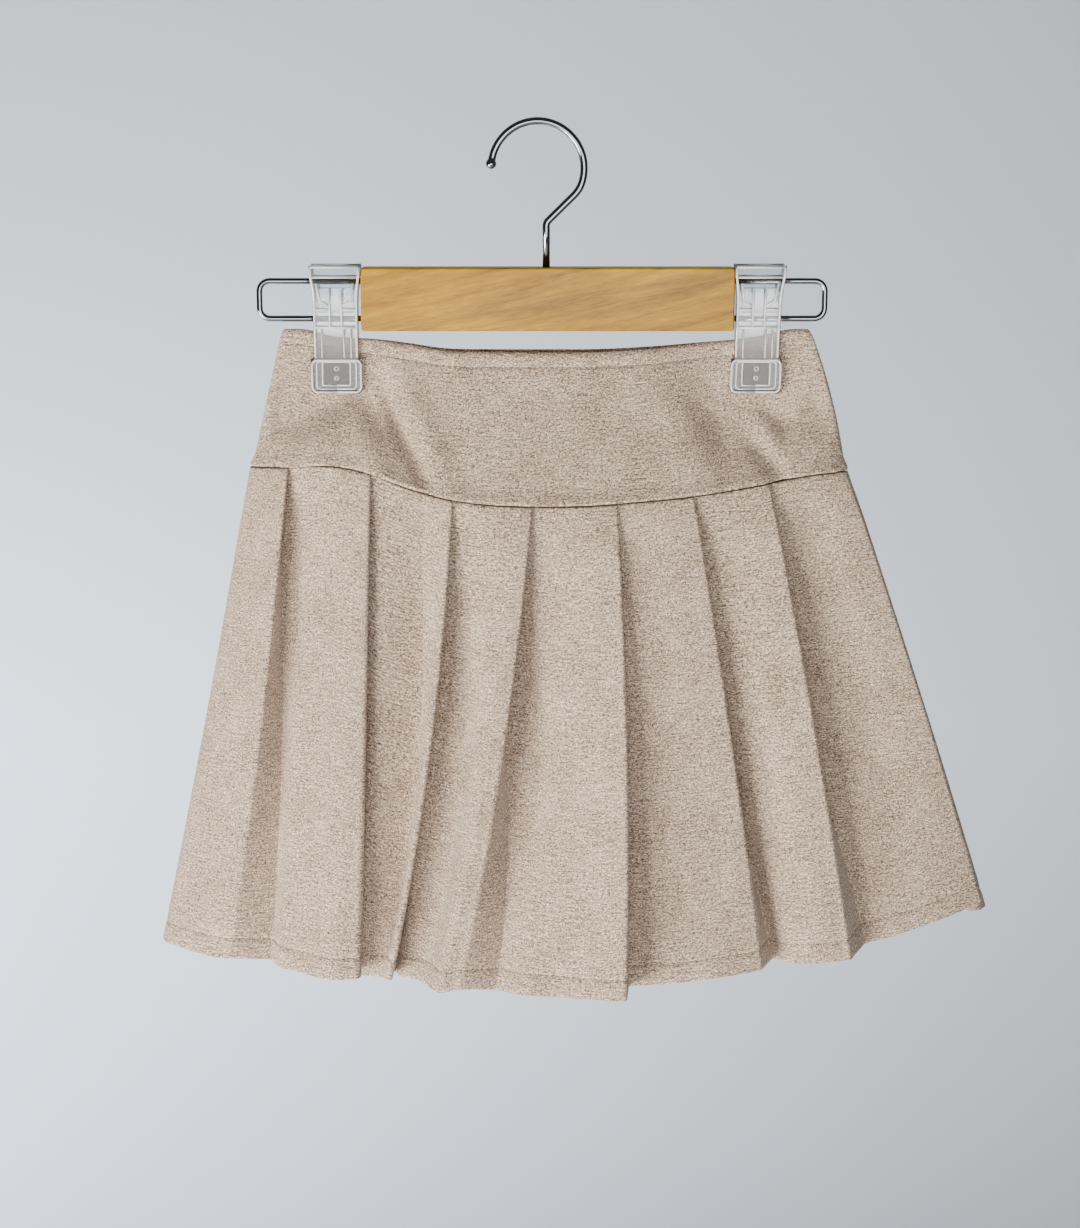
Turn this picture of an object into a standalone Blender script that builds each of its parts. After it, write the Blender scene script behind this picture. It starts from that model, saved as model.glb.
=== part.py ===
"""Knife-pleated skirt with a hip yoke, held by the two clips of a wire and wood skirt hanger.

Metres, +Z up. The skirt's front faces -Y. The origin is the inner crown of the hook, straight over its stem.
Sizes in the named values and tables are millimetres and degrees.
"""
import math
from collections import namedtuple

import bmesh
import bpy
import numpy as np

MM = 0.001

# Cloth: a soft melange knit with its backing, 1.1 mm through
CLOTH = 1.1
GAP = 0.3
LAYER = CLOTH / 2 + GAP / 2

# Hip yoke: half widths of the flat tube at the waist and at the seam to the pleats
WAIST_HALF = 138.4
HIP_LEFT = 155.4
HIP_RIGHT = 158.6
HIP_SWELL = 2.4
SIDE_TURN_WAIST = 1.3
SIDE_TURN_HIP = 4.2
HIP_BULGE = 19.8
HIP_POWER = 0.8
SEAM_HALF_GAP = 0.3

Waist = namedtuple("Waist", "across height depth")
WAIST_LINE = (
    Waist(-1.00, -105.4, 1.3),
    Waist(-0.93, -105.9, 0.9),
    Waist(-0.80, -108.9, 0.7),
    Waist(-0.67, -109.9, 0.7),
    Waist(-0.52, -112.6, 3.0),
    Waist(-0.40, -115.3, 4.8),
    Waist(-0.20, -116.2, 6.5),
    Waist(0.00, -116.3, 7.0),
    Waist(0.20, -116.1, 6.5),
    Waist(0.43, -114.2, 4.4),
    Waist(0.60, -111.8, 1.3),
    Waist(0.68, -110.9, 0.7),
    Waist(0.80, -109.5, 0.7),
    Waist(0.93, -106.8, 0.9),
    Waist(1.00, -106.4, 1.3),
)

Seam = namedtuple("Seam", "across height")
SEAM_LINE = (
    Seam(-1.00, -176.8),
    Seam(-0.87, -176.0),
    Seam(-0.76, -174.7),
    Seam(-0.67, -175.8),
    Seam(-0.58, -179.0),
    Seam(-0.49, -184.4),
    Seam(-0.38, -189.7),
    Seam(-0.25, -193.2),
    Seam(-0.05, -194.8),
    Seam(0.15, -194.4),
    Seam(0.30, -192.7),
    Seam(0.48, -190.2),
    Seam(0.72, -184.6),
    Seam(0.87, -180.6),
    Seam(1.00, -179.0),
)

# The clips press the yoke flat down to the lower edge of their pads
PRESSED_AT = 0.78
PRESSED_HALF = 0.16
PRESSED_FADE = 0.24
PRESSED_DOWN = 0.50

# Drag lines in the yoke, from one end to the other; a push below zero is a trough
Crease = namedtuple("Crease", "x0 z0 x1 z1 reach push")
YOKE_CREASES = (
    Crease(-94, -130, -62, -184, 7, -2.6),
    Crease(-108, -145, -82, -186, 8, 1.6),
    Crease(-104, -142, -132, -166, 9, -2.0),
    Crease(-143, -128, -125, -137, 6, -1.2),
    Crease(118, -142, 134, -154, 6, -1.6),
    Crease(110, -161, 128, -180, 7, -1.8),
    Crease(97, -140, 84, -182, 9, -1.6),
)

# Pleats: fold radius of the pressed cloth, and how far the edges of a pleat stand out at the seam
FOLD = 0.8
SIDE_SEAM_SPREAD = 0.15
RIDGE_PROUD = 1.5

# One row for each pressed edge, from the viewer's left round the front and back along the back.
# seam, mid, hem: X of the edge. out: Y at the hem. length: the edge's own length.
# tuck, spread: width of the hidden fold at the seam and at the hem. sink: its depth at the seam.
# heading: way from the edge to its inner fold at the hem. opens: below 1 opens early.
# bow, bow_at: how far the panel that ends at this edge is rounded out, and where across it.
Pleat = namedtuple("Pleat", "seam mid hem out length tuck sink spread heading opens bow bow_at")
PLEATS = (
    Pleat(-137.5, -152.4, -171.7, -31, 268.0, 9, 2.0, 21, 10, 0.50, 3.0, 0.60),
    Pleat(-93.3, -97.4, -102.9, -50, 269.0, 20, 1.7, 26, 114, 0.45, 4.0, 0.62),
    Pleat(-50.4, -62.2, -84.6, -44, 260.5, 20, 1.7, 18, 84, 0.60, 3.0, 0.60),
    Pleat(-8.5, -24.0, -46.8, -48, 261.5, 20, 1.7, 20, 10, 0.90, 11.0, 0.78),
    Pleat(36.1, 41.4, 41.4, -62, 263.0, 20, 1.7, 22, 80, 1.10, 2.0, 0.60),
    Pleat(76.5, 97.2, 115.6, -34, 260.0, 20, 1.7, 20, 63, 0.75, 4.0, 0.60),
    Pleat(116.5, 142.0, 164.3, -30, 263.0, 20, 1.7, 20, 54, 0.70, 7.0, 0.55),
    Pleat(158.0, 200.2, 238.8, -3, 253.5, 20, 2.0, 20, 162, 0.40, 4.0, 0.55),
    Pleat(126.0, 164.0, 202.0, 40, 262.0, 17, 2.2, 21, 250, 0.55, 3.0, 0.60),
    Pleat(81.0, 118.0, 150.0, 50, 261.0, 20, 1.7, 20, 262, 0.80, 4.0, 0.60),
    Pleat(36.0, 58.0, 78.0, 63, 263.0, 20, 1.7, 20, 256, 0.80, 3.0, 0.60),
    Pleat(-9.5, 14.0, 38.0, 54, 262.0, 20, 1.7, 20, 285, 0.80, 3.0, 0.60),
    Pleat(-54.5, -46.0, -34.0, 64, 262.0, 20, 1.7, 22, 244, 0.90, 4.0, 0.60),
    Pleat(-100.0, -107.0, -112.0, 52, 261.0, 20, 1.7, 20, 266, 0.80, 4.0, 0.60),
    Pleat(-145.0, -158.0, -168.0, 38, 263.0, 20, 1.7, 20, 280, 0.80, 3.0, 0.60),
)
FRONT_PLEATS = 8

# The two sides, where a panel wraps round from the back to the front and from the front to the back
Side = namedtuple("Side", "seam mid hem out length turn_seam turn_hem")
LEFT_SIDE = Side(-157.7, -183.6, -212.0, -4, 268.5, 4.5, 14.0)
RIGHT_SIDE = Side(160.9, 204.6, 246.0, 13, 262.4, 3.5, 10.0)

LEVELS = (0.0, 0.03, 0.08, 0.16, 0.27, 0.40, 0.56, 0.74, 0.88, 1.0)
INNER_SLANT = 2.0
BOW_SHARPNESS = 2.5
BOW_RISE = 1.4
FLARE_RISE = 0.92
TURN_STEPS = 2
FACE_POINTS = 5
UNDER_POINTS = 1

# Hanger
BAR_LENGTH = 194.2
BAR_SHIFT = 0.8
BAR_HEIGHT = 33.0
BAR_DEPTH = 13.0
BAR_CENTRE = -88.9
BAR_ROUND = 2.2

HOOK_WIRE = 4.0
HOOK_RADIUS = 24.1
HOOK_OFFSET = -4.5
HOOK_JOIN = -14
HOOK_END = 172
HOOK_STEP = 12
HOOK_BALL = 5.6

LOOP_WIRE = 3.2
LOOP_TOP = -79.7
LOOP_BOTTOM = -99.3
LOOP_CORNER = 5.4
LOOP_LEFT_END = -151.9
LOOP_RIGHT_END = 147.6

Clip = namedtuple("Clip", "name lip_x pad_x")
CLIPS = (
    Clip("left", -110.4, -110.2),
    Clip("right", 111.9, 110.2),
)
HINGE_HALF = (9.5, 1.9, 6.6)
HINGE_CENTRE = -89.6
Jaw = namedtuple("Jaw", "height half_width inner outer")
JAW = (
    Jaw(-71.2, 13.2, 6.8, 9.2),
    Jaw(-78.0, 13.0, 5.2, 8.0),
    Jaw(-89.3, 11.8, 3.0, 6.6),
    Jaw(-99.3, 11.7, 1.9, 7.0),
    Jaw(-104.0, 11.7, 1.8, 6.4),
    Jaw(-119.4, 11.7, 1.7, 5.4),
    Jaw(-120.4, 13.5, 1.56, 6.6),
    Jaw(-137.0, 13.5, 1.56, 6.4),
    Jaw(-138.4, 12.4, 1.56, 5.2),
)


def column(rows, name):
    """One named column of a table, as an array."""
    return np.array([getattr(row, name) for row in rows], dtype=float)


def curve_through(places, values, at):
    """Smooth curve through a table's points: cubic pieces that take the mean slope at each point."""
    slopes = np.gradient(values, places)
    i = np.clip(np.searchsorted(places, at) - 1, 0, len(places) - 2)
    width = places[i + 1] - places[i]
    s = np.clip((at - places[i]) / width, 0.0, 1.0)
    rise = s * s * (3 - 2 * s)
    start = values[i] * (1 - rise) + slopes[i] * width * s * (1 - s) ** 2
    return start + values[i + 1] * rise - slopes[i + 1] * width * s * s * (1 - s)


def ease(s):
    """Slow start and end between 0 and 1."""
    s = np.clip(s, 0.0, 1.0)
    return s * s * (3 - 2 * s)


def waist_height(across):
    return curve_through(column(WAIST_LINE, "across"), column(WAIST_LINE, "height"), across)


def seam_height(across):
    return curve_through(column(SEAM_LINE, "across"), column(SEAM_LINE, "height"), across)


def hip_half(x):
    """Half width of the yoke's lower edge on the side that x lies on."""
    return np.where(np.asarray(x) < 0, HIP_LEFT, HIP_RIGHT)


def hip_depth(across):
    """Half the depth of the hips, front to back, where yoke and pleats meet."""
    return SIDE_TURN_HIP + HIP_BULGE * (1 - np.minimum(1.0, np.abs(across)) ** 2) ** HIP_POWER


def pressed(across, down):
    """How far the tube has opened below the clips: 0 pressed flat, 1 at the seam."""
    off = np.abs(np.abs(across) - PRESSED_AT)
    hold = 1 - ease((off - PRESSED_HALF) / PRESSED_FADE)
    start = PRESSED_DOWN * hold
    return ease((down - start) / (1 - start)) * hold + down ** 1.2 * (1 - hold)


def crease_push(x, z):
    """Sum of the drag lines' troughs and ridges at a place on the yoke."""
    total = 0.0
    for row in YOKE_CREASES:
        along = np.array((row.x1 - row.x0, row.z1 - row.z0), dtype=float)
        length = np.linalg.norm(along)
        s = ((x - row.x0) * along[0] + (z - row.z0) * along[1]) / length ** 2
        off = ((x - row.x0) * along[1] - (z - row.z0) * along[0]) / length
        fade = ease((s + 0.15) / 0.4) * ease((1.15 - s) / 0.4)
        total += row.push * fade * math.exp(-(off / row.reach) ** 2)
    return total


def yoke_point(across, down, side):
    """Point of the yoke's middle surface. across -1 to 1, down 0 to 1, side -1 front or 1 back."""
    swell = HIP_SWELL * 4 * down * (1 - down) if across > 0 else 0.0
    half = WAIST_HALF + (float(hip_half(across)) - WAIST_HALF) * down + swell
    x = across * half
    top = waist_height(across)
    z = top + (seam_height(across) + SEAM_HALF_GAP - top) * down
    waist = curve_through(column(WAIST_LINE, "across"), column(WAIST_LINE, "depth"), across)
    open_share = pressed(across, down)
    depth = waist + (hip_depth(across) - waist) * open_share
    edge_fade = ease((1 - abs(across)) / 0.1)
    depth += crease_push(x, z) * edge_fade * min(1.0, open_share * 8)
    return x, side * max(depth, LAYER), z


def yoke_rows(side):
    """Rows of points down one yoke panel, each with a quarter turn at both side edges."""
    columns = np.linspace(-1, 1, 33)[1:-1]
    turn = [math.radians(a) for a in (0, 30, 60)]
    rows = []
    for down in (0.0, 0.12, 0.25, 0.38, 0.50, 0.66, 0.83, 1.0):
        radius = SIDE_TURN_WAIST + (SIDE_TURN_HIP - SIDE_TURN_WAIST) * down ** 1.5
        row = []
        for end, angles in ((-1, turn), (1, turn[::-1])):
            x_end, _, z_end = yoke_point(end, down, side)
            edge = []
            for angle in angles:
                x = x_end - end * radius * (1 - math.cos(angle))
                y = side * (GAP / 2 + radius * math.sin(angle))
                edge.append((x, y, z_end))
            row.append(edge)
        row.insert(1, [yoke_point(across, down, side) for across in columns])
        rows.append([point for part in row for point in part])
    return rows


Fold = namedtuple("Fold", "x y radius height")


def outline_depth(x):
    """Half depth of the hips at x."""
    return hip_depth(x / hip_half(x))


def through_three(first, middle, last, t):
    """Parabola that is at the three values for t of 0, 0.5 and 1."""
    return first * (1 - t) * (1 - 2 * t) + middle * 4 * t * (1 - t) + last * t * (2 * t - 1)


def top_height(x):
    """Height of the pleats' upper edge at x."""
    return seam_height(np.clip(x / hip_half(x), -1, 1)) - SEAM_HALF_GAP


def hem_height(row, y_seam):
    """Height of the hem under a fold line of the row's own length."""
    reach = (row.hem - row.seam) ** 2 + (row.out - y_seam) ** 2
    return float(top_height(row.seam)) - math.sqrt(row.length ** 2 - reach)


def side_fold(row, t):
    """The round turn at one side of the skirt."""
    radius = row.turn_seam + (row.turn_hem - row.turn_seam) * t
    edge = through_three(row.seam, row.mid, row.hem, t)
    inward = radius + CLOTH / 2
    x = edge + inward if row.seam < 0 else edge - inward
    return Fold(x, row.out * t, radius, hem_height(row, 0.0))


def pleat_folds(row, side, next_height, t):
    """A pleat's pressed edge, and its inner fold, which swings from flat under it to its hem heading."""
    seam_edge = np.array((row.seam, side * (outline_depth(row.seam) + RIDGE_PROUD)))
    tucked = row.seam + side * row.tuck
    seam_inner = np.array((tucked, side * (outline_depth(tucked) - row.sink)))
    x = through_three(row.seam, row.mid, row.hem, t)
    y = seam_edge[1] + (row.out - seam_edge[1]) * t ** FLARE_RISE
    away = seam_inner - seam_edge
    start = math.atan2(away[1], away[0]) % (2 * math.pi)
    if side > 0 and start < math.pi:
        start += 2 * math.pi
    heading = start + (math.radians(row.heading) - start) * t ** row.opens
    width = np.linalg.norm(away)
    width += (row.spread - width) * t
    height = hem_height(row, seam_edge[1])
    inner_height = 0.8 * height + 0.2 * next_height - INNER_SLANT
    edge = Fold(x, y, FOLD, height)
    inner = Fold(x + width * math.cos(heading), y + width * math.sin(heading), -FOLD, inner_height)
    return edge, inner


def folds_at(t):
    """All folds round the skirt at one level, from the left side, front first."""
    sides = [-1 if i < FRONT_PLEATS else 1 for i in range(len(PLEATS))]
    heights = []
    for row, side in zip(PLEATS, sides):
        heights.append(hem_height(row, side * (outline_depth(row.seam) + RIDGE_PROUD)))
    folds = [side_fold(LEFT_SIDE, t)]
    for i, (row, side) in enumerate(zip(PLEATS, sides)):
        if i == FRONT_PLEATS:
            folds.append(side_fold(RIGHT_SIDE, t))
        edge, inner = pleat_folds(row, side, heights[(i + 1) % len(PLEATS)], t)
        if i in (FRONT_PLEATS - 1, len(PLEATS) - 1):
            inner = inner._replace(radius=-(LAYER + SIDE_SEAM_SPREAD * t))
        folds += [edge, inner]
    return folds


def heading_between(a, b):
    """Heading of the straight run that leaves fold a and meets fold b, each on its own side."""
    dx, dy = b.x - a.x, b.y - a.y
    return math.atan2(dy, dx) - math.asin((b.radius - a.radius) / math.hypot(dx, dy))


def on_fold(fold, heading):
    """Point of a fold's circle where the cloth runs at the given heading."""
    return fold.x + fold.radius * math.sin(heading), fold.y - fold.radius * math.cos(heading)


def turn_points(fold, heading_in, heading_out):
    """Points round a fold, from one heading to the other, on the side that the fold turns to."""
    way = 1 if fold.radius > 0 else -1
    turn = (way * (heading_out - heading_in) + math.pi / 2) % (2 * math.pi) - math.pi / 2
    steps = TURN_STEPS * (2 if fold.radius > 2 * FOLD else 1)
    points = []
    for i in range(steps + 1):
        x, y = on_fold(fold, heading_in + way * turn * i / steps)
        points.append((x, y, fold.height))
    return points


def bow_shape(s, peak):
    """Rounded rise from 0 at both ends of a panel to 1 at the peak."""
    left = (s / peak) ** peak
    right = ((1 - s) / (1 - peak)) ** (1 - peak)
    return (left * right) ** BOW_SHARPNESS


def straight_points(a, b, count, t, pleat, follow):
    """Points between two folds. A panel is rounded out, and near the seam it follows the hips."""
    heading = heading_between(a, b)
    start, end = np.array(on_fold(a, heading)), np.array(on_fold(b, heading))
    outward = np.array((math.sin(heading), -math.cos(heading)))
    points = []
    for i in range(1, count + 1):
        s = i / (count + 1)
        place = start + (end - start) * s
        if pleat is not None:
            push = pleat.bow * t ** BOW_RISE * bow_shape(s, pleat.bow_at)
            place = place + outward * (push + follow[i - 1] * (1 - t) ** 2)
        points.append((place[0], place[1], a.height + (b.height - a.height) * s))
    return points


def hip_follow(a, b, count, side, start_proud):
    """How far a panel's points at the seam lie outside the straight line, to follow the hips."""
    heading = heading_between(a, b)
    start, end = np.array(on_fold(a, heading)), np.array(on_fold(b, heading))
    outward = np.array((math.sin(heading), -math.cos(heading)))
    follow = []
    for i in range(1, count + 1):
        s = i / (count + 1)
        place = start + (end - start) * s
        proud = start_proud + (RIDGE_PROUD + FOLD - start_proud) * s
        hips = np.array((place[0], side * (outline_depth(place[0]) + proud)))
        follow.append(float(np.dot(hips - place, outward)))
    return follow


def panel_section(first, last, t):
    """Middle line of one pleated panel at a level, from its first side seam to its last."""
    folds = folds_at(t)
    at_seam = folds_at(0.0)
    count = len(folds)
    indices = [i % count for i in range(first, last + 1)]
    points = []
    for a, b in zip(indices, indices[1:]):
        heading = heading_between(folds[a], folds[b])
        if not points:
            points.append((*on_fold(folds[a], heading), folds[a].height))
        tucked_under = folds[a].radius == FOLD and folds[b].radius < 0
        if tucked_under:
            points += straight_points(folds[a], folds[b], UNDER_POINTS, t, None, None)
        else:
            pleat, follow = face_of(a, b, folds, at_seam)
            points += straight_points(folds[a], folds[b], FACE_POINTS, t, pleat, follow)
        if b == indices[-1]:
            points.append((*on_fold(folds[b], heading), folds[b].height))
        else:
            following = indices[indices.index(b) + 1]
            points += turn_points(folds[b], heading, heading_between(folds[b], folds[following]))
    return points


def face_of(a, b, folds, at_seam):
    """Rounding of the face between folds a and b, and its shape at the seam."""
    if folds[b].radius > 2 * FOLD:
        return pleat_at(a)._replace(bow=0.0), [0.0] * FACE_POINTS
    row = pleat_at(b)
    side = -1 if at_seam[b].y < 0 else 1
    start = -LAYER if folds[a].radius > 2 * FOLD else -(pleat_at(a).sink + FOLD)
    return row, hip_follow(at_seam[a], at_seam[b], FACE_POINTS, side, start)


def pleat_at(index):
    """The table row of the pressed edge at a place in the list of folds."""
    front_end = 1 + 2 * FRONT_PLEATS
    if index < front_end:
        return PLEATS[(index - 1) // 2]
    return PLEATS[FRONT_PLEATS + (index - front_end - 1) // 2]


def panel_rows(first, last):
    """Rows of points down one pleated panel, hung from the seam line."""
    tops = [float(top_height(x)) for x, _, _ in panel_section(first, last, 0.0)]
    rows = []
    for t in LEVELS:
        section = panel_section(first, last, t)
        rows.append([(x, y, top + (hem - top) * t) for (x, y, hem), top in zip(section, tops)])
    return rows


def material(name, colour, roughness, metallic=0.0, alpha=1.0):
    """Plain Principled finish."""
    made = bpy.data.materials.new(name)
    made.use_nodes = True
    shader = made.node_tree.nodes["Principled BSDF"]
    shader.inputs["Base Color"].default_value = (*colour, 1.0)
    shader.inputs["Roughness"].default_value = roughness
    shader.inputs["Metallic"].default_value = metallic
    shader.inputs["Alpha"].default_value = alpha
    return made


def add_object(name, data, finish, collection):
    """Link a mesh or curve as a named part."""
    part = bpy.data.objects.new(name, data)
    part.data.materials.append(finish)
    collection.objects.link(part)
    return part


def cloth_panel(name, rows, flip, finish, collection):
    """Open sheet through rows of points, with the cloth's wall half to each side."""
    bm = bmesh.new()
    grid = [[bm.verts.new([c * MM for c in point]) for point in row] for row in rows]
    for upper, lower in zip(grid, grid[1:]):
        for a, b, c, d in zip(upper, upper[1:], lower[1:], lower):
            bm.faces.new((a, b, c, d) if flip else (a, d, c, b))
    mesh = bpy.data.meshes.new(name)
    bm.to_mesh(mesh)
    bm.free()
    mesh.shade_smooth()
    mesh.set_sharp_from_angle(angle=math.radians(50))
    part = add_object(name, mesh, finish, collection)
    wall = part.modifiers.new("wall", "SOLIDIFY")
    wall.thickness = CLOTH * MM
    wall.offset = 0.0
    wall.use_even_offset = True
    return part


def wire(name, route, diameter, swell, finish, collection):
    """Round wire along a route of X and Z points; swell gives the radius at each point as a share."""
    curve = bpy.data.curves.new(name, "CURVE")
    curve.dimensions = "3D"
    curve.bevel_depth = diameter / 2 * MM
    curve.bevel_resolution = 2
    curve.use_fill_caps = True
    spline = curve.splines.new("POLY")
    spline.points.add(len(route) - 1)
    for point, (x, z), share in zip(spline.points, route, swell):
        point.co = (x * MM, 0.0, z * MM, 1.0)
        point.radius = share
    return add_object(name, curve, finish, collection)


def rounded_route(corners, steps=4):
    """Route through corners given as x, z and the radius of the bend there."""
    route = [corners[0][:2]]
    for before, corner, after in zip(corners, corners[1:], corners[2:]):
        here = np.array(corner[:2], dtype=float)
        way_in = here - np.array(before[:2])
        way_out = np.array(after[:2]) - here
        way_in /= np.linalg.norm(way_in)
        way_out /= np.linalg.norm(way_out)
        turn = math.acos(float(np.clip(np.dot(way_in, way_out), -1, 1)))
        reach = corner[2] * math.tan(turn / 2)
        side = way_in[0] * way_out[1] - way_in[1] * way_out[0]
        normal = np.array((-way_in[1], way_in[0])) * (1 if side > 0 else -1)
        centre = here - way_in * reach + normal * corner[2]
        for i in range(steps + 1):
            angle = turn * i / steps
            spoke = -normal * math.cos(angle) + way_in * math.sin(angle)
            route.append(tuple(centre + spoke * corner[2]))
    route.append(corners[-1][:2])
    return route


def hook_route():
    """Stem, slanted neck and open ring of the hook, up to its ball end."""
    ring_z = -math.sqrt((HOOK_RADIUS - HOOK_WIRE / 2) ** 2 - HOOK_OFFSET ** 2)
    stem_foot = BAR_CENTRE + BAR_HEIGHT / 2 + GAP
    stem_bend = (0.0, ring_z - 27.9, 4.0)
    neck_bend = (17.6, ring_z - 10.7, 16.0)
    join = math.radians(HOOK_JOIN)
    ring_start = (HOOK_OFFSET + HOOK_RADIUS * math.cos(join), ring_z + HOOK_RADIUS * math.sin(join))
    route = rounded_route([(0.0, stem_foot), stem_bend, neck_bend, ring_start])[:-1]
    for degrees in range(HOOK_JOIN, HOOK_END + 1, HOOK_STEP):
        angle = math.radians(degrees)
        route.append((HOOK_OFFSET + HOOK_RADIUS * math.cos(angle), ring_z + HOOK_RADIUS * math.sin(angle)))
    return route


def ball_end(route, diameter, ball):
    """Carry a route on through a ball at its end; gives the longer route and the radius shares."""
    swell = [1.0] * len(route)
    last, before = np.array(route[-1]), np.array(route[-2])
    way = (last - before) / np.linalg.norm(last - before)
    radius = ball / 2
    start = math.asin(diameter / ball)
    for i in range(1, 7):
        angle = start + (math.radians(172) - start) * i / 6
        route.append(tuple(last + way * radius * (math.cos(start) - math.cos(angle))))
        swell.append(math.sin(angle) * ball / diameter)
    return route, swell


def box_sections(name, sections, finish, collection):
    """Closed loft through level rectangles, each (z, x0, x1, y0, y1), from the top down."""
    bm = bmesh.new()
    rings = []
    for z, x0, x1, y0, y1 in sections:
        corners = ((x0, y0), (x1, y0), (x1, y1), (x0, y1))
        rings.append([bm.verts.new((x * MM, y * MM, z * MM)) for x, y in corners])
    for upper, lower in zip(rings, rings[1:]):
        for i in range(4):
            j = (i + 1) % 4
            bm.faces.new((upper[i], lower[i], lower[j], upper[j]))
    bm.faces.new(rings[0])
    bm.faces.new(rings[-1][::-1])
    mesh = bpy.data.meshes.new(name)
    bm.to_mesh(mesh)
    bm.free()
    return add_object(name, mesh, finish, collection)


def make_skirt(collection):
    """Two yoke panels and two pleated panels."""
    knit = material("melange knit", (0.47, 0.40, 0.34), 0.92)
    left_seam = -1
    right_seam = 2 * FRONT_PLEATS
    last = 2 * len(PLEATS) + 1
    cloth_panel("yoke_front", yoke_rows(-1), False, knit, collection)
    cloth_panel("yoke_back", yoke_rows(1), True, knit, collection)
    cloth_panel("pleats_front", panel_rows(left_seam, right_seam), False, knit, collection)
    cloth_panel("pleats_back", panel_rows(right_seam, last), False, knit, collection)


def make_hanger(collection):
    """Wooden bar, hook, and the wire loop that carries a clip at each end."""
    beech = material("varnished beech", (0.53, 0.35, 0.14), 0.35)
    steel = material("chromed steel", (0.62, 0.62, 0.64), 0.12, metallic=1.0)
    size = (BAR_LENGTH * MM, BAR_DEPTH * MM, BAR_HEIGHT * MM)
    bm = bmesh.new()
    bmesh.ops.create_cube(bm, size=1.0)
    bmesh.ops.scale(bm, vec=size, verts=bm.verts)
    bmesh.ops.translate(bm, vec=(BAR_SHIFT * MM, 0.0, BAR_CENTRE * MM), verts=bm.verts)
    mesh = bpy.data.meshes.new("hanger_bar")
    bm.to_mesh(mesh)
    bm.free()
    bar = add_object("hanger_bar", mesh, beech, collection)
    edges = bar.modifiers.new("eased edges", "BEVEL")
    edges.width = BAR_ROUND * MM
    edges.segments = 3

    route, swell = ball_end(hook_route(), HOOK_WIRE, HOOK_BALL)
    wire("hanger_hook", route, HOOK_WIRE, swell, steel, collection)
    for name, side, end in (("loop_left", -1, LOOP_LEFT_END), ("loop_right", 1, LOOP_RIGHT_END)):
        start = BAR_SHIFT + side * (BAR_LENGTH / 2 + GAP)
        far = end - side * LOOP_WIRE / 2
        corners = [(start, LOOP_TOP), (far, LOOP_TOP, LOOP_CORNER), (far, LOOP_BOTTOM, LOOP_CORNER),
                   (start, LOOP_BOTTOM)]
        loop = rounded_route(corners)
        wire(name, loop, LOOP_WIRE, [1.0] * len(loop), steel, collection)


def make_clips(collection):
    """Two clear clips, each a front and a back jaw on a hinge block between the loop's two wires."""
    clear = material("clear polycarbonate", (0.86, 0.88, 0.88), 0.08, alpha=0.4)
    drop = JAW[0].height - JAW[-1].height
    for clip in CLIPS:
        for face, side in (("front", -1), ("back", 1)):
            sections = []
            for row in JAW:
                centre = clip.lip_x + (clip.pad_x - clip.lip_x) * (JAW[0].height - row.height) / drop
                near, far = sorted((side * row.inner, side * row.outer))
                sections.append((row.height, centre - row.half_width, centre + row.half_width, near, far))
            box_sections(f"clip_{clip.name}_{face}", sections, clear, collection)
        half_x, half_y, half_z = HINGE_HALF
        hinge = [(z, clip.lip_x - half_x, clip.lip_x + half_x, -half_y, half_y)
                 for z in (HINGE_CENTRE + half_z, HINGE_CENTRE - half_z)]
        box_sections(f"clip_{clip.name}_hinge", hinge, clear, collection)


def main():
    for old in list(bpy.data.objects):
        bpy.data.objects.remove(old)
    collection = bpy.data.collections.new("pleated skirt on a clip hanger")
    bpy.context.scene.collection.children.link(collection)
    make_skirt(collection)
    make_hanger(collection)
    make_clips(collection)


main()
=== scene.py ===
import math
from collections import namedtuple

import bmesh
import bpy
import numpy as np
from mathutils import Matrix, Vector


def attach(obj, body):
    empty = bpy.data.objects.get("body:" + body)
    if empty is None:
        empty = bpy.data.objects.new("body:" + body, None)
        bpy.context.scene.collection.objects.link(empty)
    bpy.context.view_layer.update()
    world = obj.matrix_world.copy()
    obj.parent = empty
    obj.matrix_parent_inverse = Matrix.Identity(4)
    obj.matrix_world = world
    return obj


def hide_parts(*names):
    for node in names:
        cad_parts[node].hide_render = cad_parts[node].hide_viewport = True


# Knife-pleated skirt with a hip yoke on a clip hanger.
# Sizes are millimetres, made metres as they reach a mesh. The origin is the inner crown of the hook, +Z is up
# and the skirt's front faces -Y.
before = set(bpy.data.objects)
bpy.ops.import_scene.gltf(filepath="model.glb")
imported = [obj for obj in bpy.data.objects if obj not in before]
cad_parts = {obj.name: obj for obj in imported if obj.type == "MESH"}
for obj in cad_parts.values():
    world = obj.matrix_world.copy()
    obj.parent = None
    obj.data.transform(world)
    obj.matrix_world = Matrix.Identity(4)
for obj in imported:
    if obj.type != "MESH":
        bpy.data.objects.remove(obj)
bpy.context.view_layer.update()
MM = 0.001


# Hip yoke
# The flat tube over the hips: a front and a back panel of soft double knit, cut to shape and joined at the
# sides. It is pressed flat between the clips' pads and opens below them, with drag lines from each clip.
# CLOTH is the knit's thickness, SHELL the thickness drawn, and LAYER how far a layer lies off the middle plane.
CLOTH = 1.1
SHELL = 1.0
LAYER = 0.7
CLOSEST_LAYER = 0.6
YOKE_DEPTH = 75.0
WAIST_HALF = 138.4
HIP_LEFT = 155.4
HIP_RIGHT = 158.6
HIP_SWELL = 2.4
SIDE_TURN_WAIST = 1.3
SIDE_TURN_HIP = 4.2
HIP_BULGE = 19.8
HIP_POWER = 0.8
SEAM_HALF_GAP = 0.3

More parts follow.
